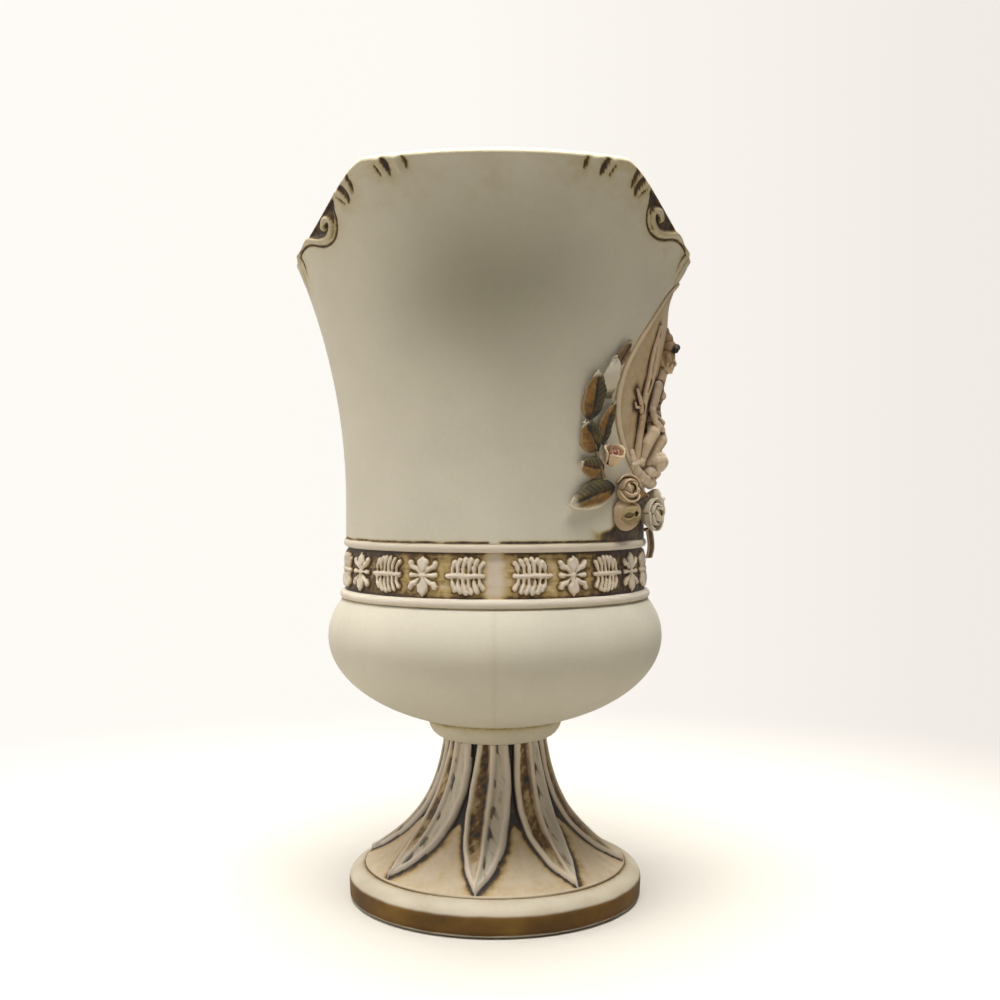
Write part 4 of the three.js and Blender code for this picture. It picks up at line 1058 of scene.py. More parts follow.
# Roses are tinted pink and ochre, with an olive heart
rose_tinted = bisque(
    "pink and ochre tinted rose bisque",
    [(0.0, "#bba386"), (0.35, "#8e6c40"), (0.7, "#45301a"), (1.0, "#1a1008")],
    [(0.0, "#8c7a4c"), (0.35, "#5c4b22"), (0.7, "#2e2410"), (1.0, "#150e07")], "#e2cfa6",
)
# The bud is cream outside and russet in its heart
rosebud_tinted = bisque(
    "cream and russet rosebud bisque",
    [(0.0, "#d8bd98"), (0.35, "#b2743e"), (0.7, "#5c2412"), (1.0, "#260d06")],
    [(0.0, "#8a2e18"), (0.5, "#4a1a0e"), (1.0, "#1e0a06")], "#e8dcc2",
)
# White petals were left unpainted and have yellowed in their folds
white_tinted = bisque(
    "off-white petal bisque",
    [(0.0, "#d6cbb6"), (0.35, "#a39272"), (0.7, "#54402a"), (1.0, "#22140c")],
    [(0.0, "#b0a06c"), (0.5, "#6e5a2c"), (1.0, "#22140c")], "#dcd6c8",
)
# Stems, ribbon and the dry little leaf are strips of clay stained brown
bark_brown = bisque(
    "brown stained clay strip",
    [(0.0, "#a8967a"), (0.3, "#7a6040"), (0.65, "#3c2410"), (1.0, "#180b05")],
    None, "#c8b898",
)


def gap_to(points, balls):
    """How far points are from the nearest of some balls, taken as round and of their full size"""
    nearest = np.full(len(points), FAR_OFF)
    for place, sizes, _, _ in balls:
        nearest = np.minimum(nearest, np.linalg.norm(points - place, axis=1) - max(sizes[1:]))
    return nearest


# Plaque: a round tile that hugs the neck, with a raised border

PLAQUE_LOW, PLAQUE_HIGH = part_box("medallion_plaque")
PLAQUE_Y = (PLAQUE_LOW.y + PLAQUE_HIGH.y) / 2 / MM
PLAQUE_Z = (PLAQUE_LOW.z + PLAQUE_HIGH.z) / 2 / MM
PLAQUE_RADIUS = (PLAQUE_HIGH.z - PLAQUE_LOW.z) / 2 / MM
CLEARANCE = 0.34  # slip between an applied piece and its seat
FACE = 0.2  # how far the face of the tile, which is let into the neck, stands out of it
TILE_BACK = 0.6  # how far its back lies in the neck's wall
TILE_COLUMNS = 288
BORDER_WIDTH = 1.8
BORDER_RELIEF = 0.8


def plaque():
    """The tile's disc, bent to the wall of the neck"""
    inner = PLAQUE_RADIUS - BORDER_WIDTH
    field = [(r, FACE) for r in np.linspace(0, inner - 0.4, 56)]
    half = BORDER_WIDTH / 2
    border = [
        (PLAQUE_RADIUS - half - half * math.cos(a), BORDER_RELIEF * math.sin(a))
        for a in np.linspace(0, math.pi * 0.85, 14)
    ]
    rim = [(r, FACE + rise - 0.2) for r, rise in border] + [(PLAQUE_RADIUS, 0.0)]
    back = [(r, -TILE_BACK) for r in np.linspace(PLAQUE_RADIUS, 0, 24)]
    outline = field + rim + back
    piece, row, angle = lathe("plaque_tile", outline, TILE_COLUMNS)
    outline = np.array(outline)
    radius, height = outline[row, 0], outline[row, 1]
    turn = np.radians(angle)
    y = PLAQUE_Y + radius * np.sin(turn)
    z = PLAQUE_Z + radius * np.cos(turn)
    # The field was dabbed by hand and isn't quite even
    dents = 0.3 * clouding(y / 5, z / 6, 1) - 0.1
    on_field = row < len(field)
    height = height + np.where(on_field, dents * (radius < inner - 2), 0)
    round_neck = neck_radius(z)
    out = round_neck + height - pressed(np.degrees(np.arcsin(y / round_neck)), z)
    x = np.sqrt(out**2 - y * y)
    set_points(piece, np.stack([x, y, z], -1))
    # The dark ring just inside the border is wash in its angle, with painted shadow of the raised
    # border
    line = 0.5 * fade(np.abs(radius - inner + 0.1), 0.3) * (row < len(field) + 6)
    shade = (0.18 * fade(inner - radius, 3.0) + 0.22 * clouding(y / 4, z / 7, 5)) * on_field
    outer_line = 0.35 * (row >= len(field) + 13)
    wash = np.maximum(np.maximum(line, shade), outer_line)
    # The wash gathers round the tree and behind the figure
    from_relief = gap_to(points_of(piece), tree_balls() + body_balls())
    wash = wash + 0.85 * fade(from_relief - 0.5, 1.0) * on_field
    mark(piece, "wash", np.clip(wash, 0, 1))
    mark(piece, "pale", 0.5 * ((row > len(field)) & (row < len(field) + 12)))
    return close(piece)


# Figure: a seated nymph in relief, with her hair up and a cloth over her lap

HEAD_U = -9.7  # the head's middle, mm along the girth from the front
HEAD_Z = PLAQUE_Z + 9.6
HEAD_H = FACE + 2.2  # and out from the neck
HEAD = 8.8  # the head's height, by which the body is proportioned
SHOULDER_Z = HEAD_Z - 0.95 * HEAD
HIP_Z = SHOULDER_Z - 1.55 * HEAD
FIGURE_VOXEL = 0.27


def head_balls():
    """Skull, jaw, nose and its tip, lips and chin, and on each side brow, cheek and ear"""
    u, z, h = HEAD_U, HEAD_Z, HEAD_H
    balls = [
        ball(u, z + 0.7, h - 0.3, 3.0, 3.5, 3.1),
        ball(u, z - 1.4, h + 0.5, 2.25, 2.8, 2.3),
        ball(u, z - 0.6, h + 3.0, 0.42, 0.85, 0.65),
        ball(u, z - 1.2, h + 3.2, 0.55, 0.35, 0.45),
        ball(u, z - 2.2, h + 2.7, 0.75, 0.24, 0.3),
        ball(u, z - 2.7, h + 2.6, 0.6, 0.26, 0.32),
        ball(u, z - 3.6, h + 2.2, 0.8, 0.6, 0.6),
    ]
    for side in (-1, 1):
        balls.append(ball(u + side * 1.05, z + 0.5, h + 2.7, 0.95, 0.3, 0.4))
        balls.append(ball(u + side * 1.3, z - 1.3, h + 2.0, 0.9, 0.9, 0.6))
        balls.append(ball(u + side * 2.6, z - 0.6, h + 0.6, 0.4, 0.9, 0.6))
    return balls


def hair_balls():
    """Hair put up in a tall knot, with locks before the ears"""
    u, z, h = HEAD_U, HEAD_Z, HEAD_H
    balls = [
        ball(u + 0.3, z + 2.2, h - 0.8, 3.5, 3.4, 3.3),
        ball(u - 0.3, z + 5.2, h - 0.6, 2.7, 2.9, 2.9),
        ball(u - 0.6, z + 8.2, h - 1.6, 2.0, 2.4, 2.2),
        ball(u - 0.9, z + 10.8, h - 2.4, 1.2, 1.8, 1.3),
    ]
    for side in (-1, 1):
        balls.append(ball(u + side * 2.7, z + 0.8, h + 0.4, 1.0, 1.9, 1.4))
    return balls + curl_balls()


def curl_balls():
    """The dark curls over the forehead"""
    u, z, h = HEAD_U, HEAD_Z, HEAD_H
    return [
        ball(u - 0.2, z + 5.2, h + 2.3, 1.5, 1.3, 1.3),
        ball(u - 1.5, z + 4.4, h + 2.1, 1.2, 1.1, 1.1),
        ball(u + 1.4, z + 4.4, h + 2.1, 1.2, 1.1, 1.1),
    ]


def body_balls():
    """Trunk and hips, then neck, shoulders, arms and legs, each limb from joint to joint"""
    u, f = HEAD_U, FACE
    near_shoulder = (u - 4.8, SHOULDER_Z - 1, f + 1.4)
    near_elbow = (u - 10.2, HIP_Z + 4.6, f + 2.0)
    near_hand = (u - 8.6, HIP_Z - 2.4, f + 4.4)
    far_shoulder = (u + 2.8, SHOULDER_Z - 1, f + 1.4)
    far_elbow = (u + 9.4, HIP_Z + 4.0, f + 1.8)
    far_hand = (u + 8.4, HIP_Z - 5.0, f + 2.2)
    near_hip = (u - 3.6, HIP_Z, f + 1.8)
    near_knee = (u - 10.0, HIP_Z - 3.6, f + 3.4)
    near_calf = (u - 12.4, HIP_Z - 7.4, f + 2.4)
    near_ankle = (u - 13.8, HIP_Z - 13.0, f + 1.6)
    near_toes = (u - 21.0, HIP_Z - 14.8, f + 1.2)
    far_hip = (u + 1.6, HIP_Z - 0.4, f + 2.0)
    far_knee = (u - 1.0, HIP_Z - 6.0, f + 4.8)
    far_ankle = (u - 6.6, HIP_Z - 14.0, f + 1.8)
    middle = (SHOULDER_Z + HIP_Z) / 2
    balls = [
        ball(u - 1.1, middle + 4.0, f + 1.0, 4.9, 4.6, 2.7, 4),
        ball(u - 1.3, middle - 0.8, f + 0.9, 3.9, 4.6, 2.4, 4),
        ball(u - 1.6, middle - 3.8, f + 1.5, 4.4, 3.2, 2.5),
        ball(u - 3.2, middle + 3.4, f + 3.0, 1.7, 1.7, 1.4),
        ball(u + 1.0, middle + 3.4, f + 3.0, 1.7, 1.7, 1.4),
        ball(u - 2.0, HIP_Z, f + 1.4, 6.2, 4.4, 3.4),
    ]
    balls += bone((u, HEAD_Z - 2.4, f + 1.8), (u - 0.8, SHOULDER_Z, f + 1.3), 1.5, 1.9)
    balls += bone((u - 4.4, SHOULDER_Z, f + 1.2), (u + 2.6, SHOULDER_Z, f + 1.2), 1.6, 1.6)
    balls += bone(near_shoulder, near_elbow, 1.8, 1.3) + bone(near_elbow, near_hand, 1.3, 0.9)
    balls += bone(far_shoulder, far_elbow, 1.8, 1.3) + bone(far_elbow, far_hand, 1.3, 0.9)
    balls += bone(near_hip, near_knee, 3.0, 2.3) + bone(near_knee, near_calf, 2.2, 2.1)
    balls += bone(near_calf, near_ankle, 2.1, 1.1) + bone(near_ankle, near_toes, 1.3, 0.8)
    balls += bone(far_hip, far_knee, 3.1, 2.5) + bone(far_knee, far_ankle, 2.3, 1.3)
    balls += [
        ball(*near_hand, 1.3, 1.0, 0.9), ball(*far_hand, 1.3, 1.1, 0.9),
        ball(u - 13.4, HIP_Z - 14.0, f + 1.4, 1.3, 1.3, 1.2),
    ]
    return balls


def cloth_balls():
    """Folds of the cloth from the lap to the rock"""
    folds = [
        # mm along the girth from the head's middle, above the hip and out from the tile
        [(-6.5, 2.6, 2.6), (-1.0, 0.4, 4.6), (4.6, 1.6, 3.0)],
        [(-7.5, 0.6, 3.2), (-2.0, -2.0, 5.0), (5.0, -1.6, 3.0)],
        [(4.6, 1.0, 2.4), (6.0, -6.0, 2.8), (4.6, -15.0, 1.6)],
        [(2.6, -2.0, 3.6), (3.8, -8.0, 3.4), (1.8, -16.0, 2.2)],
        [(-1.6, -7.0, 4.8), (-1.6, -11.0, 4.4), (-3.0, -16.0, 2.8)],
    ]
    balls = []
    for fold in folds:
        path = [(HEAD_U + u, HIP_Z + z, FACE + h) for u, z, h in fold]
        balls += strand(path, [0.9, 1.15, 0.7])
    return balls


def figure():
    """The nymph, with darker curls and hair, and painted shade on her trunk and arms"""
    balls = body_balls() + head_balls() + hair_balls() + cloth_balls()
    piece = clump("seated_figure", balls, FIGURE_VOXEL, 5)
    hollow = cavity(piece, 16)
    points = points_of(piece)
    curls = ramp(-gap_to(points, curl_balls()), -0.5, -0.1)
    # The hair keeps more of the wash, and her trunk and arms between hip and shoulder are darkened with
    # painted shade
    hair = ramp(-gap_to(points, hair_balls()), -0.4, 0.0) * ramp(gap_to(points, head_balls()), -0.6, 0)
    shaded = ramp(points[:, 2] - HIP_Z, 1, 4) * ramp(SHOULDER_Z - points[:, 2], -3, -1)
    shaded = shaded * (0.5 + clouding(points[:, 1] / 3, points[:, 2] / 5, 14))
    wash = np.clip(0.05 + hollow / 0.2, 0, 1)
    mark(piece, "wash", np.clip(wash + 0.4 * hair + 0.4 * shaded, 0, 1))
    mark(piece, "side", curls)
    mark(piece, "pale", 0.75 * np.clip(-hollow / 0.22, 0, 1) * (1 - curls) * (1 - 0.7 * hair))
    return piece


def on_plaque(path):
    """Places (along the girth, above the plaque's middle, out from its face) on the neck"""
    return [(u, PLAQUE_Z + rise, FACE + out) for u, rise, out in path]


def tree_balls():
    """A trunk that forks in two, with a side branch and its twig"""
    trunk = [(-26.6, -25.0, 0.5), (-26.4, -14.0, 0.9), (-27.2, -6.0, 1.0), (-27.2, -2.6, 1.0)]
    left = [(-27.2, -3.6, 0.9), (-27.0, 3.0, 0.7), (-28.0, 11.0, 0.6), (-26.8, 20.4, 0.3)]
    right = [(-27.2, -3.6, 1.0), (-24.9, 2.6, 1.2), (-25.1, 9.6, 1.0), (-26.4, 20.4, 0.3)]
    branch = [(-27.4, -9.0, 0.8), (-30.2, -5.2, 0.7), (-33.4, -1.8, 0.4)]
    twig = [(-28.8, -7.4, 0.6), (-31.6, -7.6, 0.4), (-32.8, -6.2, 0.3)]
    balls = strand(on_plaque(trunk), [1.5, 1.2, 1.1])
    balls += strand(on_plaque(left), [1.0, 0.8, 0.75, 0.5])
    balls += strand(on_plaque(right), [1.1, 0.9, 0.8, 0.5])
    balls += strand(on_plaque(branch), [0.9, 0.8, 0.5]) + strand(on_plaque(twig), [0.6, 0.5, 0.4])
    return balls


def tree():
    """The tree, its bark streaked along the trunk"""
    piece = clump("tree_trunk", tree_balls(), 0.2, 3)
    hollow = cavity(piece, 10)
    points = points_of(piece)
    streaks = clouding(points[:, 1] / 0.9, points[:, 2] / 7, 12)
    mark(piece, "wash", np.clip(0.1 + 0.5 * streaks + hollow / 0.12, 0, 1))
    mark(piece, "pale", 0.35 * np.clip(-hollow / 0.1, 0, 1))
    return piece


def rock():
    """The bank along the border, and the boulder and stones on it"""
    bank = [
        (-31.0, -22.4, 0.4), (-27.5, -27.6, 0.8), (-20.9, -31.6, 1.4),
        (-12.4, -33.0, 2.0), (-0.8, -33.0, 1.8), (8.4, -30.4, 0.8),
    ]
    lumps = [
        # place on the plaque, half sizes along the girth, up and out, lean
        ((1.1, -22.6, 0.2), (8.0, 7.6, 4.2), -6),
        ((-12.0, -25.8, 3.2), (4.8, 4.2, 5.2), 8),
        ((-15.5, -29.6, 1.8), (4.4, 2.4, 3.0), 0),
        ((-5.0, -29.2, 2.4), (4.6, 3.2, 3.2), 0),
        ((6.0, -17.4, 0.4), (3.4, 4.0, 2.6), 0),
        ((-22.0, -31.6, 1.0), (2.6, 1.6, 1.8), 0),
    ]
    balls = strand(on_plaque(bank), [0.9, 1.5, 1.9, 2.2, 2.2, 1.4])
    balls += [ball(*on_plaque([place])[0], *sizes, lean) for place, sizes, lean in lumps]
    piece = clump("rock_base", balls, 0.3, 3)
    points = points_of(piece)
    x, y, z = points.T
    wave = np.sin(y * 1.1 + z * 0.7) * np.sin(z * 1.3 - x * 0.8)
    normals = np.empty(len(points) * 3, np.float32)
    piece.data.vertices.foreach_get("normal", normals)
    set_points(piece, points + 0.22 * wave[:, None] * normals.reshape(-1, 3))
    hollow = antique(piece, 0.2, 14)
    mark(piece, "pale", 0.35 + 0.5 * np.clip(-hollow / 0.15, 0, 1))
    return piece


# Leaves: cut from a clay sheet, veined with a tool, and curled at the tip

LEAF_THICKNESS = 1.1
VEIN_PITCH = 1.9


def leaf(name, foot, tip, width, bend=0.0, lift=1.6, hand=1, veins=1.0, dark=1.0, tip_pale=0.12,
         edge_pale=0.0, smooth=False):
    """A leaf from its foot to its tip, both (mm along the girth, height), bent to one side,
    with its tip lifted off the wall. The hand is -1 for a mirrored one."""
    piece, t, s = sheet(name, 80, 48)
    foot, tip = np.array(foot, float), np.array(tip, float)
    way = tip - foot
    length = np.hypot(*way)
    side = np.array([way[1], -way[0]]) / length
    half = width / 2 * np.maximum(0.04, np.sin(np.pi * t**0.8) ** 0.62)
    half = half * (1 + 0.02 * np.sin(t * 13 + foot[1]))
    x = s * half
    shift = hand * (bend * np.sin(np.pi * t) + x)
    u = foot[0] + way[0] * t + side[0] * shift
    z = foot[1] + way[1] * t + side[1] * shift
    body = 0.9 + (1 - np.abs(s) ** 1.8) * ramp(t, 0, 0.25) * ramp(1 - t, 0, 0.2)
    crease = np.exp(-((x / 0.75) ** 2)) * ramp(t, 0.02, 0.2) * ramp(1 - t, 0.04, 0.25)
    fold = 0.8 * crease * (not smooth)
    phase = (t * length - 0.8 * np.abs(x)) * 2 * np.pi / VEIN_PITCH
    vein = 0.5 + 0.5 * np.cos(phase)
    open_part = ramp(np.abs(s), 0.08, 0.25) * ramp(1 - np.abs(s), 0.02, 0.2)
    comb = veins * 0.1 * vein * open_part * (0.55 + 0.45 * (s > 0))
    round_edge = 0.55 * (1 - np.sqrt(1 - np.clip((np.abs(s) - 0.72) / 0.28, 0, 1) ** 2))
    ruffle = 0.22 * np.sin(t * 17 + foot[1]) * s * s
    lumps = 0.35 * (clouding(t * length / 2.4, x / 1.7, 40 + foot[0]) - 0.5) * (not smooth)
    height = CLEARANCE + lift * t * t + body - fold + comb - round_edge + ruffle + lumps
    if smooth:
        height = height + 0.8 * s * s - 0.5 * (1 - s * s) * np.sin(np.pi * t)
    set_points(piece, on_neck(u, z, height))
    middle = (foot + tip) / 2
    outwards = on_neck(*middle, 5.0) - on_neck(*middle, 0.0)
    if np.dot(piece.data.polygons[len(piece.data.polygons) // 2].normal, outwards) < 0:
        piece.data.flip_normals()
    hollow_lines = veins * (1 - vein) * open_part
    patches = clouding(t * length / 2.2, x / 1.6, foot[0])
    cool = ramp(s + 0.5 * (patches - 0.5), -0.3, 0.4) * dark
    wash = hollow_lines * (0.08 + 0.2 * cool) + 0.6 * np.exp(-((x / 0.45) ** 2)) * (not smooth)
    wash = wash + 0.6 * ramp(0.22 - t, 0, 0.2) + (0.1 + 0.35 * patches) * (not smooth)
    pale = ramp(t, 1 - tip_pale, 1.0) + edge_pale * ramp(-s, 0.55, 0.95)
    pale = pale + 0.25 * ramp(np.abs(s), 0.8, 1) * (1 - cool)
    mark(piece, "side", np.clip(cool, 0, 1))
    mark(piece, "wash", np.clip(wash, 0, 1))
    mark(piece, "pale", np.clip(pale, 0, 1))
    apply_modifier(piece, "SOLIDIFY", thickness=LEAF_THICKNESS * MM, offset=-1.0)
    return close(piece)


# Roses: petals rolled thin and wrapped round a bud

PETAL_THICKNESS = 0.62


def petals(rings, radius, depth):
    """Petals about the +X axis; a ring gives their number, their fullest and their rim as shares
    of the radius, their reach as a share of the depth, half their spread and the first one's turn"""
    each = [
        (belly, rim, reach, spread, first + i * 360 / count)
        for count, belly, rim, reach, spread, first in rings
        for i in range(count)
    ]
    piece, _, _ = sheet("petals", 24, 20)
    number, flat = copies(piece, len(each))
    belly, rim, reach, spread, turn = np.array(each)[number].T
    a = flat[:, 1] * MM
    b = (flat[:, 0] * MM + 1) / 2 * (1 - 0.22 * a * a)
    low, middle = 0.62 * belly, (belly + rim) / 2
    stations = [0, 0.22, 0.55, 0.85, 1]
    shares = [0.12, low, belly, middle, rim]
    rho = shares[0]
    for i in range(len(stations) - 1):
        t = np.clip((b - stations[i]) / (stations[i + 1] - stations[i]), 0, 1)
        rho = np.where(b > stations[i], shares[i] + (shares[i + 1] - shares[i]) * t, rho)
    along = depth * reach * np.interp(b, stations, [0, 0.1, 0.5, 0.88, 1.0])
    along = along - depth * 0.08 * (rim > belly) * ramp(b, 0.8, 1.0)
    angle = np.radians(turn) + a * np.radians(spread) * (0.55 + 0.45 * np.sin(np.pi * b * 0.8))
    rho = rho * radius * (1 + 0.05 * np.sin(3 * a + turn))
    set_points(piece, np.stack([along, rho * np.cos(angle), rho * np.sin(angle)], -1))
    apply_modifier(piece, "SOLIDIFY", thickness=PETAL_THICKNESS * MM, offset=0.0)
    return piece


def rose(name, at, radius, depth, rings, hand=1, tilt=0.0, swing=0.0, voxel=0.17, heart=0.45,
         warm=(0.3, 0.7), pale=0.5):
    """A rose at (mm along the girth, height), tilted up and swung aside by some degrees. Its
    heart has the side paint, which fades out between the warm shares of its radius."""
    wrapped = petals(rings, radius, depth)
    deselect()
    bpy.ops.mesh.primitive_uv_sphere_add(segments=24, ring_count=16, radius=MM)
    piece = bpy.context.object
    bud = points_of(piece) * (depth * 0.42, radius * heart, radius * heart)
    set_points(piece, bud + (depth * 0.42, 0, 0))
    wrapped.select_set(True)
    bpy.ops.object.join()
    piece.name = piece.data.name = name
    points = points_of(piece)
    points[:, 1] *= hand
    set_points(piece, points)
    fuse(piece, voxel, 3)
    points = points_of(piece)
    hollow = antique(piece, 0.16, 12)
    from_axis = np.hypot(points[:, 1], points[:, 2]) / radius
    mark(piece, "side", ramp(-from_axis, -warm[1], -warm[0]))
    mark(piece, "pale", pale * np.clip(-hollow / 0.12 - 0.15, 0, 1))
    lean, turn = math.radians(tilt), math.radians(swing) * -hand
    x = points[:, 0] * math.cos(lean) - points[:, 2] * math.sin(lean)
    z = points[:, 0] * math.sin(lean) + points[:, 2] * math.cos(lean)
    base = on_neck(np.float64(at[0]), np.float64(at[1]), CLEARANCE + 0.1)
    turn = turn + math.atan2(base[1], base[0])
    y = x * math.sin(turn) + points[:, 1] * math.cos(turn)
    x = x * math.cos(turn) - points[:, 1] * math.sin(turn)
    set_points(piece, base + np.stack([x, y, z], -1))
    return piece


# (petals, fullest, rim, reach, half spread, first angle) from the heart outwards
CLOSED = [(2, 0.85, 0.05, 1.02, 90, 100), (3, 1.0, 0.5, 0.8, 66, 20)]
OPEN = [(2, 0.5, 0.26, 1.0, 80, 10), (2, 0.74, 0.5, 0.95, 84, 100), (2, 1.0, 0.98, 0.8, 74, 80)]
BUD = [(2, 0.45, 0.3, 0.85, 80, 0), (3, 0.72, 1.1, 1.0, 56, 30)]
BLOWN = [(2, 0.4, 0.3, 0.98, 75, 40), (3, 0.62, 0.66, 0.9, 58, 0), (4, 0.9, 1.02, 0.8, 50, 35)]


# Ribbon, stems and the spray on each side of the plaque

RIBBON_HALF_WIDTH = 1.45
RIBBON_THICKNESS = 0.75


def ribbon():
    """The ribbon's end, which turns over under the roses and hangs down"""
    piece, t, s = sheet("ribbon_end", 60, 10)
    hangs = [
        (-16.0, -50.0, 0.6), (-13.4, -49.4, 1.3), (-11.4, -51.0, 2.0),
        (-11.6, -55.6, 2.3), (-12.8, -59.8, 1.7),
    ]
    path = np.array(smooth_path(on_plaque(hangs), 10))
    share = np.linspace(0, 1, len(path))
    u, z, h = [np.interp(t, share, path[:, k]) for k in range(3)]
    half = RIBBON_HALF_WIDTH - 0.35 * ramp(t, 0.75, 1)
    height = h + 0.35 * s * s + 0.12 * np.sin(t * 9) + 0.8 * s
    set_points(piece, on_neck(u + s * half, z, height))
    if piece.data.polygons[len(piece.data.polygons) // 2].normal.x < 0:
        piece.data.flip_normals()
    mark(piece, "wash", 0.25 + 0.35 * (1 - s * s) + 0.25 * ramp(0.3 - t, 0, 0.3))
    mark(piece, "pale", 0.6 * (np.abs(s) > 0.8))
    apply_modifier(piece, "SOLIDIFY", thickness=RIBBON_THICKNESS * MM, offset=0.0)
    return close(piece)


def stem(name, hand):
    """The stem behind the leaves, (mm from the front, mm above the plaque's middle) at its bends"""
    bends = ((45.8, -31.8), (48.4, -26.4), (51.4, -20.8), (53.8, -15.6))
    path = on_plaque([(-hand * u, rise, 0.6) for u, rise in bends])
    piece = clump(name, strand(path, [0.8, 0.7, 0.6]), 0.2, 3)
    antique(piece, 0.15, 8, 0.7)
    return piece


# Foot and tip of each leaf: mm along the girth from the front, mm above the plaque's middle
SPRAY_LEAVES = {
    "leaf_top": dict(foot=(54.4, -12.6), tip=(57.2, 2.6), width=9.4, bend=0.8, tip_pale=0.14),
    "leaf_inner": dict(foot=(47.8, -20.4), tip=(46.9, -7.0), width=6.2, bend=-0.5, tip_pale=0.05),
    "leaf_middle": dict(foot=(49.9, -22.6), tip=(57.6, -14.0), width=9.4, bend=0.4, tip_pale=0.1),
    "leaf_lower": dict(foot=(46.4, -28.4), tip=(57.0, -27.2), width=7.2, bend=-0.5),
    "leaf_wide": dict(
        foot=(40.8, -35.0), tip=(60.2, -40.8), width=9.6, bend=0.6, tip_pale=0.2, edge_pale=0.9
    ),
    "leaf_bottom": dict(foot=(28.2, -40.8), tip=(16.0, -37.8), width=5.8, bend=-0.4),
    "leaf_small": dict(foot=(48.6, 4.6), tip=(47.2, 13.0), width=5.4, bend=0.2, veins=0.1, dark=0.0),
}
WHITE_PETAL = dict(
    foot=(49.4, -4.8), tip=(52.4, 7.2), width=7.4, lift=2.4, veins=0.0, dark=0.0, tip_pale=0.8,
    smooth=True,
)
SPRAY_ROSES = {
    "rose_upper": dict(
        at=(34.8, -36.2), radius=4.7, depth=6.4, rings=OPEN, tilt=15, swing=20, warm=(0.1, 0.4)
    ),
    "rose_round": dict(
        at=(34.9, -44.0), radius=5.2, depth=6.8, rings=CLOSED, swing=25, heart=0.6,
        warm=(0.4, 1.0), pale=0.25,
    ),
    "rosebud": dict(
        at=(43.0, -27.2), radius=3.7, depth=7.0, rings=BUD, tilt=50, swing=20, heart=0.35
    ),
}


def spray(label, hand):
    """Leaves, roses, petal and stem on one side of the plaque, with a hand of -1 on the far one"""

    def across(sizes):
        moved = dict(sizes, hand=hand)
        for key in {"foot", "tip", "at"} & sizes.keys():
            moved[key] = (-hand * sizes[key][0], PLAQUE_Z + sizes[key][1])
        return moved

    for name, sizes in SPRAY_LEAVES.items():
        paint = bark_brown if name == "leaf_small" else olive_leaf
        node = label + "_" + name
        fit(leaf(node, **across(sizes)), paint, "olive_bisque", node)
    for name, sizes in SPRAY_ROSES.items():
        paint = rosebud_tinted if name == "rosebud" else rose_tinted
        node = label + "_" + name
        fit(rose(node, **across(sizes)), paint, "rose_bisque", node)
    node = label + "_white_petal"
    fit(leaf(node, **across(WHITE_PETAL)), white_tinted, "white_bisque", node)
    node = label + "_stem"
    fit(stem(node, hand), bark_brown, "stem_bisque", node)


fit(plaque(), plaque_tan, "tan_bisque", "medallion_plaque")
fit(figure(), cream_relief, "relief_bisque", "seated_figure")
fit(tree(), cream_relief, "relief_bisque", "tree_trunk")
fit(rock(), cream_relief, "relief_bisque", "rock_base")
spray("near", 1)
spray("far", -1)
left_rose = rose(
    "rose_left_of_centre", (-12.6, PLAQUE_Z - 44.2), 5.8, 7.6, BLOWN, swing=20,
    warm=(0.15, 0.4), pale=0.3,
)
fit(left_rose, white_tinted, "white_bisque", "rose_left_of_centre")
right_rose = rose(
    "rose_right_of_centre", (-2.0, PLAQUE_Z - 39.8), 4.5, 7.4, BLOWN, hand=-1,
    warm=(0.15, 0.4), pale=0.3,
)
fit(right_rose, white_tinted, "white_bisque", "rose_right_of_centre")
fit(ribbon(), bark_brown, "stem_bisque", "ribbon_end")


# Camera, floor and light

BOARD_COLOUR = "#d4d0c9"  # the board under the piece as it is seen, with the piece's shadow on it
BOUNCE_COLOUR = "#a8a49c"  # what the board gives back to the piece
ROOM_COLOUR = "#ffffff"
BACKDROP = [(0.0, "#fefbf6"), (0.45, "#fdf9f3"), (1.0, "#f1ebe5")]
BACKDROP_FALL = 0.375  # where its fall ends, in metres aside for each metre back
BOARD_WIDTH = 6.0
BOARD_DEPTH = 3.4
SHADOW_NEAR = 0.09  # metres from the axis at which the board's shaded white begins to fade
SHADOW_FAR = 0.42
ROOM_LIGHT = 0.02
LAMPS_AIM = (0.0, 0.0, 0.13)
LAMPS = [
    # name, place in metres, size, power in watts, colour
    ("ceiling_light", (0.0, -0.1, 0.9), (0.6, 0.6), 18.2, "#fffdf8"),
    ("ceiling_back", (0.0, 0.6, 1.2), (1.2, 1.0), 7, "#fffaf2"),
    ("window_left", (-1.0, 0.0, 0.7), (0.9, 0.9), 4.2, "#fffaf4"),
    ("window_low", (-1.0, -0.2, 0.2), (0.8, 0.4), 1.2, "#fffaf4"),
    ("camera_side", (0.0, -1.5, 0.25), (1.0, 0.4), 2.3, "#fffaf4"),
]


def set_camera():
    """The photograph's camera, level but for its pitch"""
    bpy.ops.object.camera_add(
        location=[c * MM for c in EYE], rotation=(math.radians(90 + PITCH), 0, 0)
    )
    camera = bpy.context.object
    camera.data.sensor_fit = "HORIZONTAL"
    camera.data.sensor_width = SENSOR_WIDTH
    camera.data.lens = SENSOR_WIDTH * FOCAL_PIXELS / PHOTO_SIDE
    camera.data.clip_start = 0.01
    bpy.context.scene.camera = camera


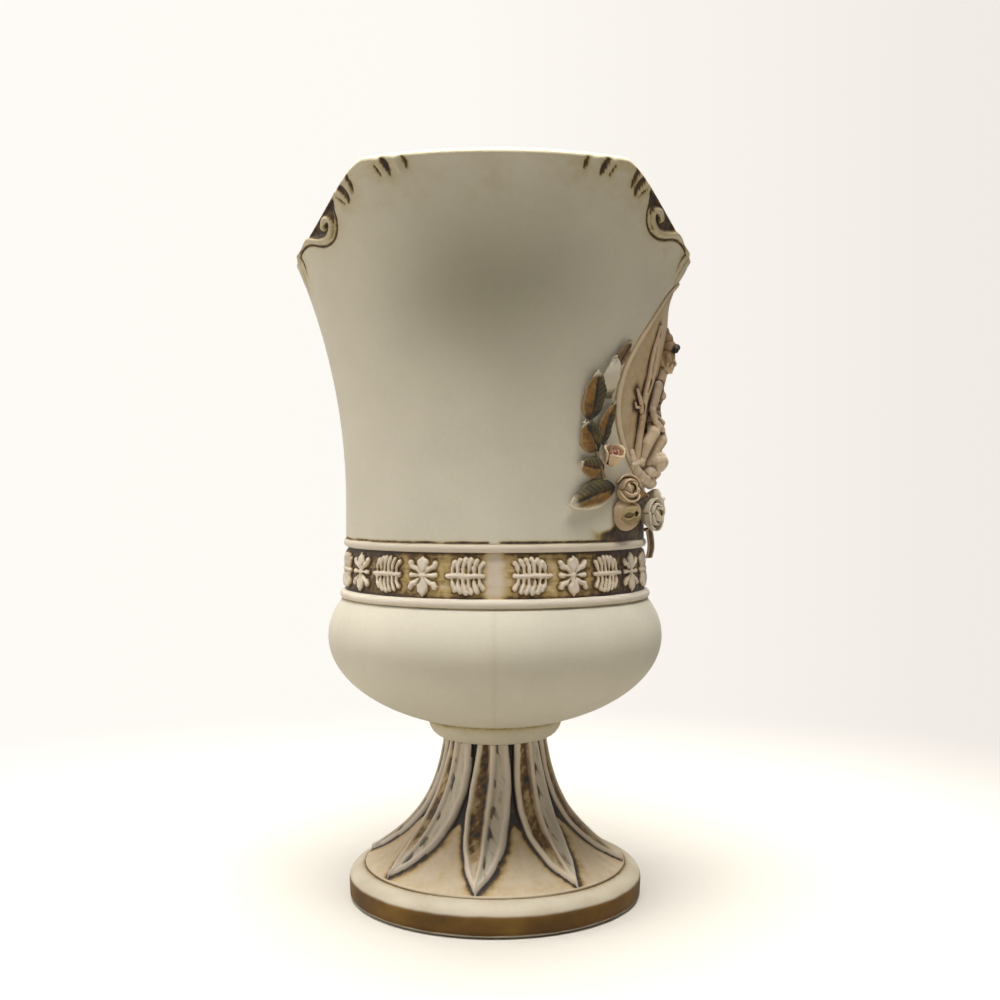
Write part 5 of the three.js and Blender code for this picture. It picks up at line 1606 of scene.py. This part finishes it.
def backdrop_white(tree, place, set_back):
    """The backdrop's white, which falls off a little from left to right, fanning out from a
    point at a distance in metres in front of the piece"""
    parts = put(tree, "ShaderNodeSeparateXYZ", links={0: place}).outputs
    away = put(
        tree, "ShaderNodeMath", {"operation": "ADD"}, {1: set_back}, {0: parts["Y"]}
    ).outputs[0]
    slant = put(
        tree, "ShaderNodeMath", {"operation": "DIVIDE"}, links={0: parts["X"], 1: away}
    ).outputs[0]
    share = put(
        tree, "ShaderNodeMapRange", values={"From Min": -BACKDROP_FALL, "From Max": BACKDROP_FALL},
        links={"Value": slant},
    ).outputs[0]
    return put(tree, "ShaderNodeValToRGB", links={0: share}, stops=BACKDROP).outputs[0]


def set_floor():
    """The board that the piece stands on and throws its shadow on"""
    deselect()
    bpy.ops.mesh.primitive_plane_add(size=1, location=(0, 0, 0))
    floor = bpy.context.object
    floor.name = "floor"
    floor.data.transform(
        ((BOARD_WIDTH, 0, 0, 0), (0, BOARD_DEPTH, 0, 0), (0, 0, 1, 0), (0, 0, 0, 1))
    )
    # Matte paint, which takes the soft shadow of the piece and shines nowhere
    material = bpy.data.materials.new("white painted board")
    material.use_nodes = True
    tree = material.node_tree
    tree.nodes.clear()
    seen = put(tree, "ShaderNodeLightPath").outputs["Is Camera Ray"]
    paint = put(
        tree, "ShaderNodeMix", {"data_type": "RGBA"},
        {MIX_A: linear(BOUNCE_COLOUR), MIX_B: linear(BOARD_COLOUR)}, {"Factor": seen},
    ).outputs[MIX_RESULT]
    shade = put(tree, "ShaderNodeBsdfDiffuse", links={"Color": paint})
    # Beyond the shadow of the piece the board runs into the backdrop, for the camera only
    place = put(tree, "ShaderNodeTexCoord").outputs["Object"]
    away = put(tree, "ShaderNodeVectorMath", {"operation": "LENGTH"}, links={0: place})
    far = put(
        tree, "ShaderNodeMapRange", {"interpolation_type": "SMOOTHSTEP"},
        {"From Min": SHADOW_NEAR, "From Max": SHADOW_FAR}, {"Value": away.outputs["Value"]},
    ).outputs[0]
    shown = put(
        tree, "ShaderNodeMath", {"operation": "MULTIPLY"}, links={0: far, 1: seen}
    ).outputs[0]
    # The board's white fans out from below the photograph's camera, to meet the backdrop's
    white = backdrop_white(tree, place, -EYE[1] * MM)
    glow = put(tree, "ShaderNodeEmission", links={"Color": white})
    mixed = put(
        tree, "ShaderNodeMixShader", links={0: shown, 1: shade.outputs[0], 2: glow.outputs[0]}
    )
    put(tree, "ShaderNodeOutputMaterial", links={"Surface": mixed.outputs[0]})
    floor.data.materials.append(material)


def set_light():
    """A faintly lit room with the backdrop in view, and the lamps"""
    world = bpy.data.worlds.new("studio")
    bpy.context.scene.world = world
    world.use_nodes = True
    tree = world.node_tree
    tree.nodes.clear()
    path = put(tree, "ShaderNodeLightPath").outputs
    shown = put(
        tree, "ShaderNodeMath", {"operation": "MAXIMUM"},
        links={0: path["Is Camera Ray"], 1: path["Is Glossy Ray"]},
    ).outputs[0]
    room = put(
        tree, "ShaderNodeBackground", values={"Color": linear(ROOM_COLOUR), "Strength": ROOM_LIGHT}
    )
    # The backdrop is so far off that its white goes by direction alone
    way = put(tree, "ShaderNodeTexCoord").outputs["Generated"]
    white = put(tree, "ShaderNodeBackground", links={"Color": backdrop_white(tree, way, 0.0)})
    mixed = put(
        tree, "ShaderNodeMixShader", links={0: shown, 1: room.outputs[0], 2: white.outputs[0]}
    )
    put(tree, "ShaderNodeOutputWorld", links={"Surface": mixed.outputs[0]})
    for name, place, (width, height), power, code in LAMPS:
        bpy.ops.object.light_add(type="AREA", location=place)
        lamp = bpy.context.object
        lamp.name = name
        lamp.data.shape = "RECTANGLE"
        lamp.data.size = width
        lamp.data.size_y = height
        lamp.data.energy = power
        lamp.data.color = linear(code)[:3]
        to = np.array(LAMPS_AIM) - np.array(place)
        flat = math.hypot(to[0], to[1])
        lamp.rotation_euler = (
            math.atan2(flat, -to[2]), 0, math.atan2(to[1], to[0]) - math.pi / 2,
        )


set_camera()
set_floor()
set_light()
bpy.context.scene.view_settings.view_transform = "Standard"
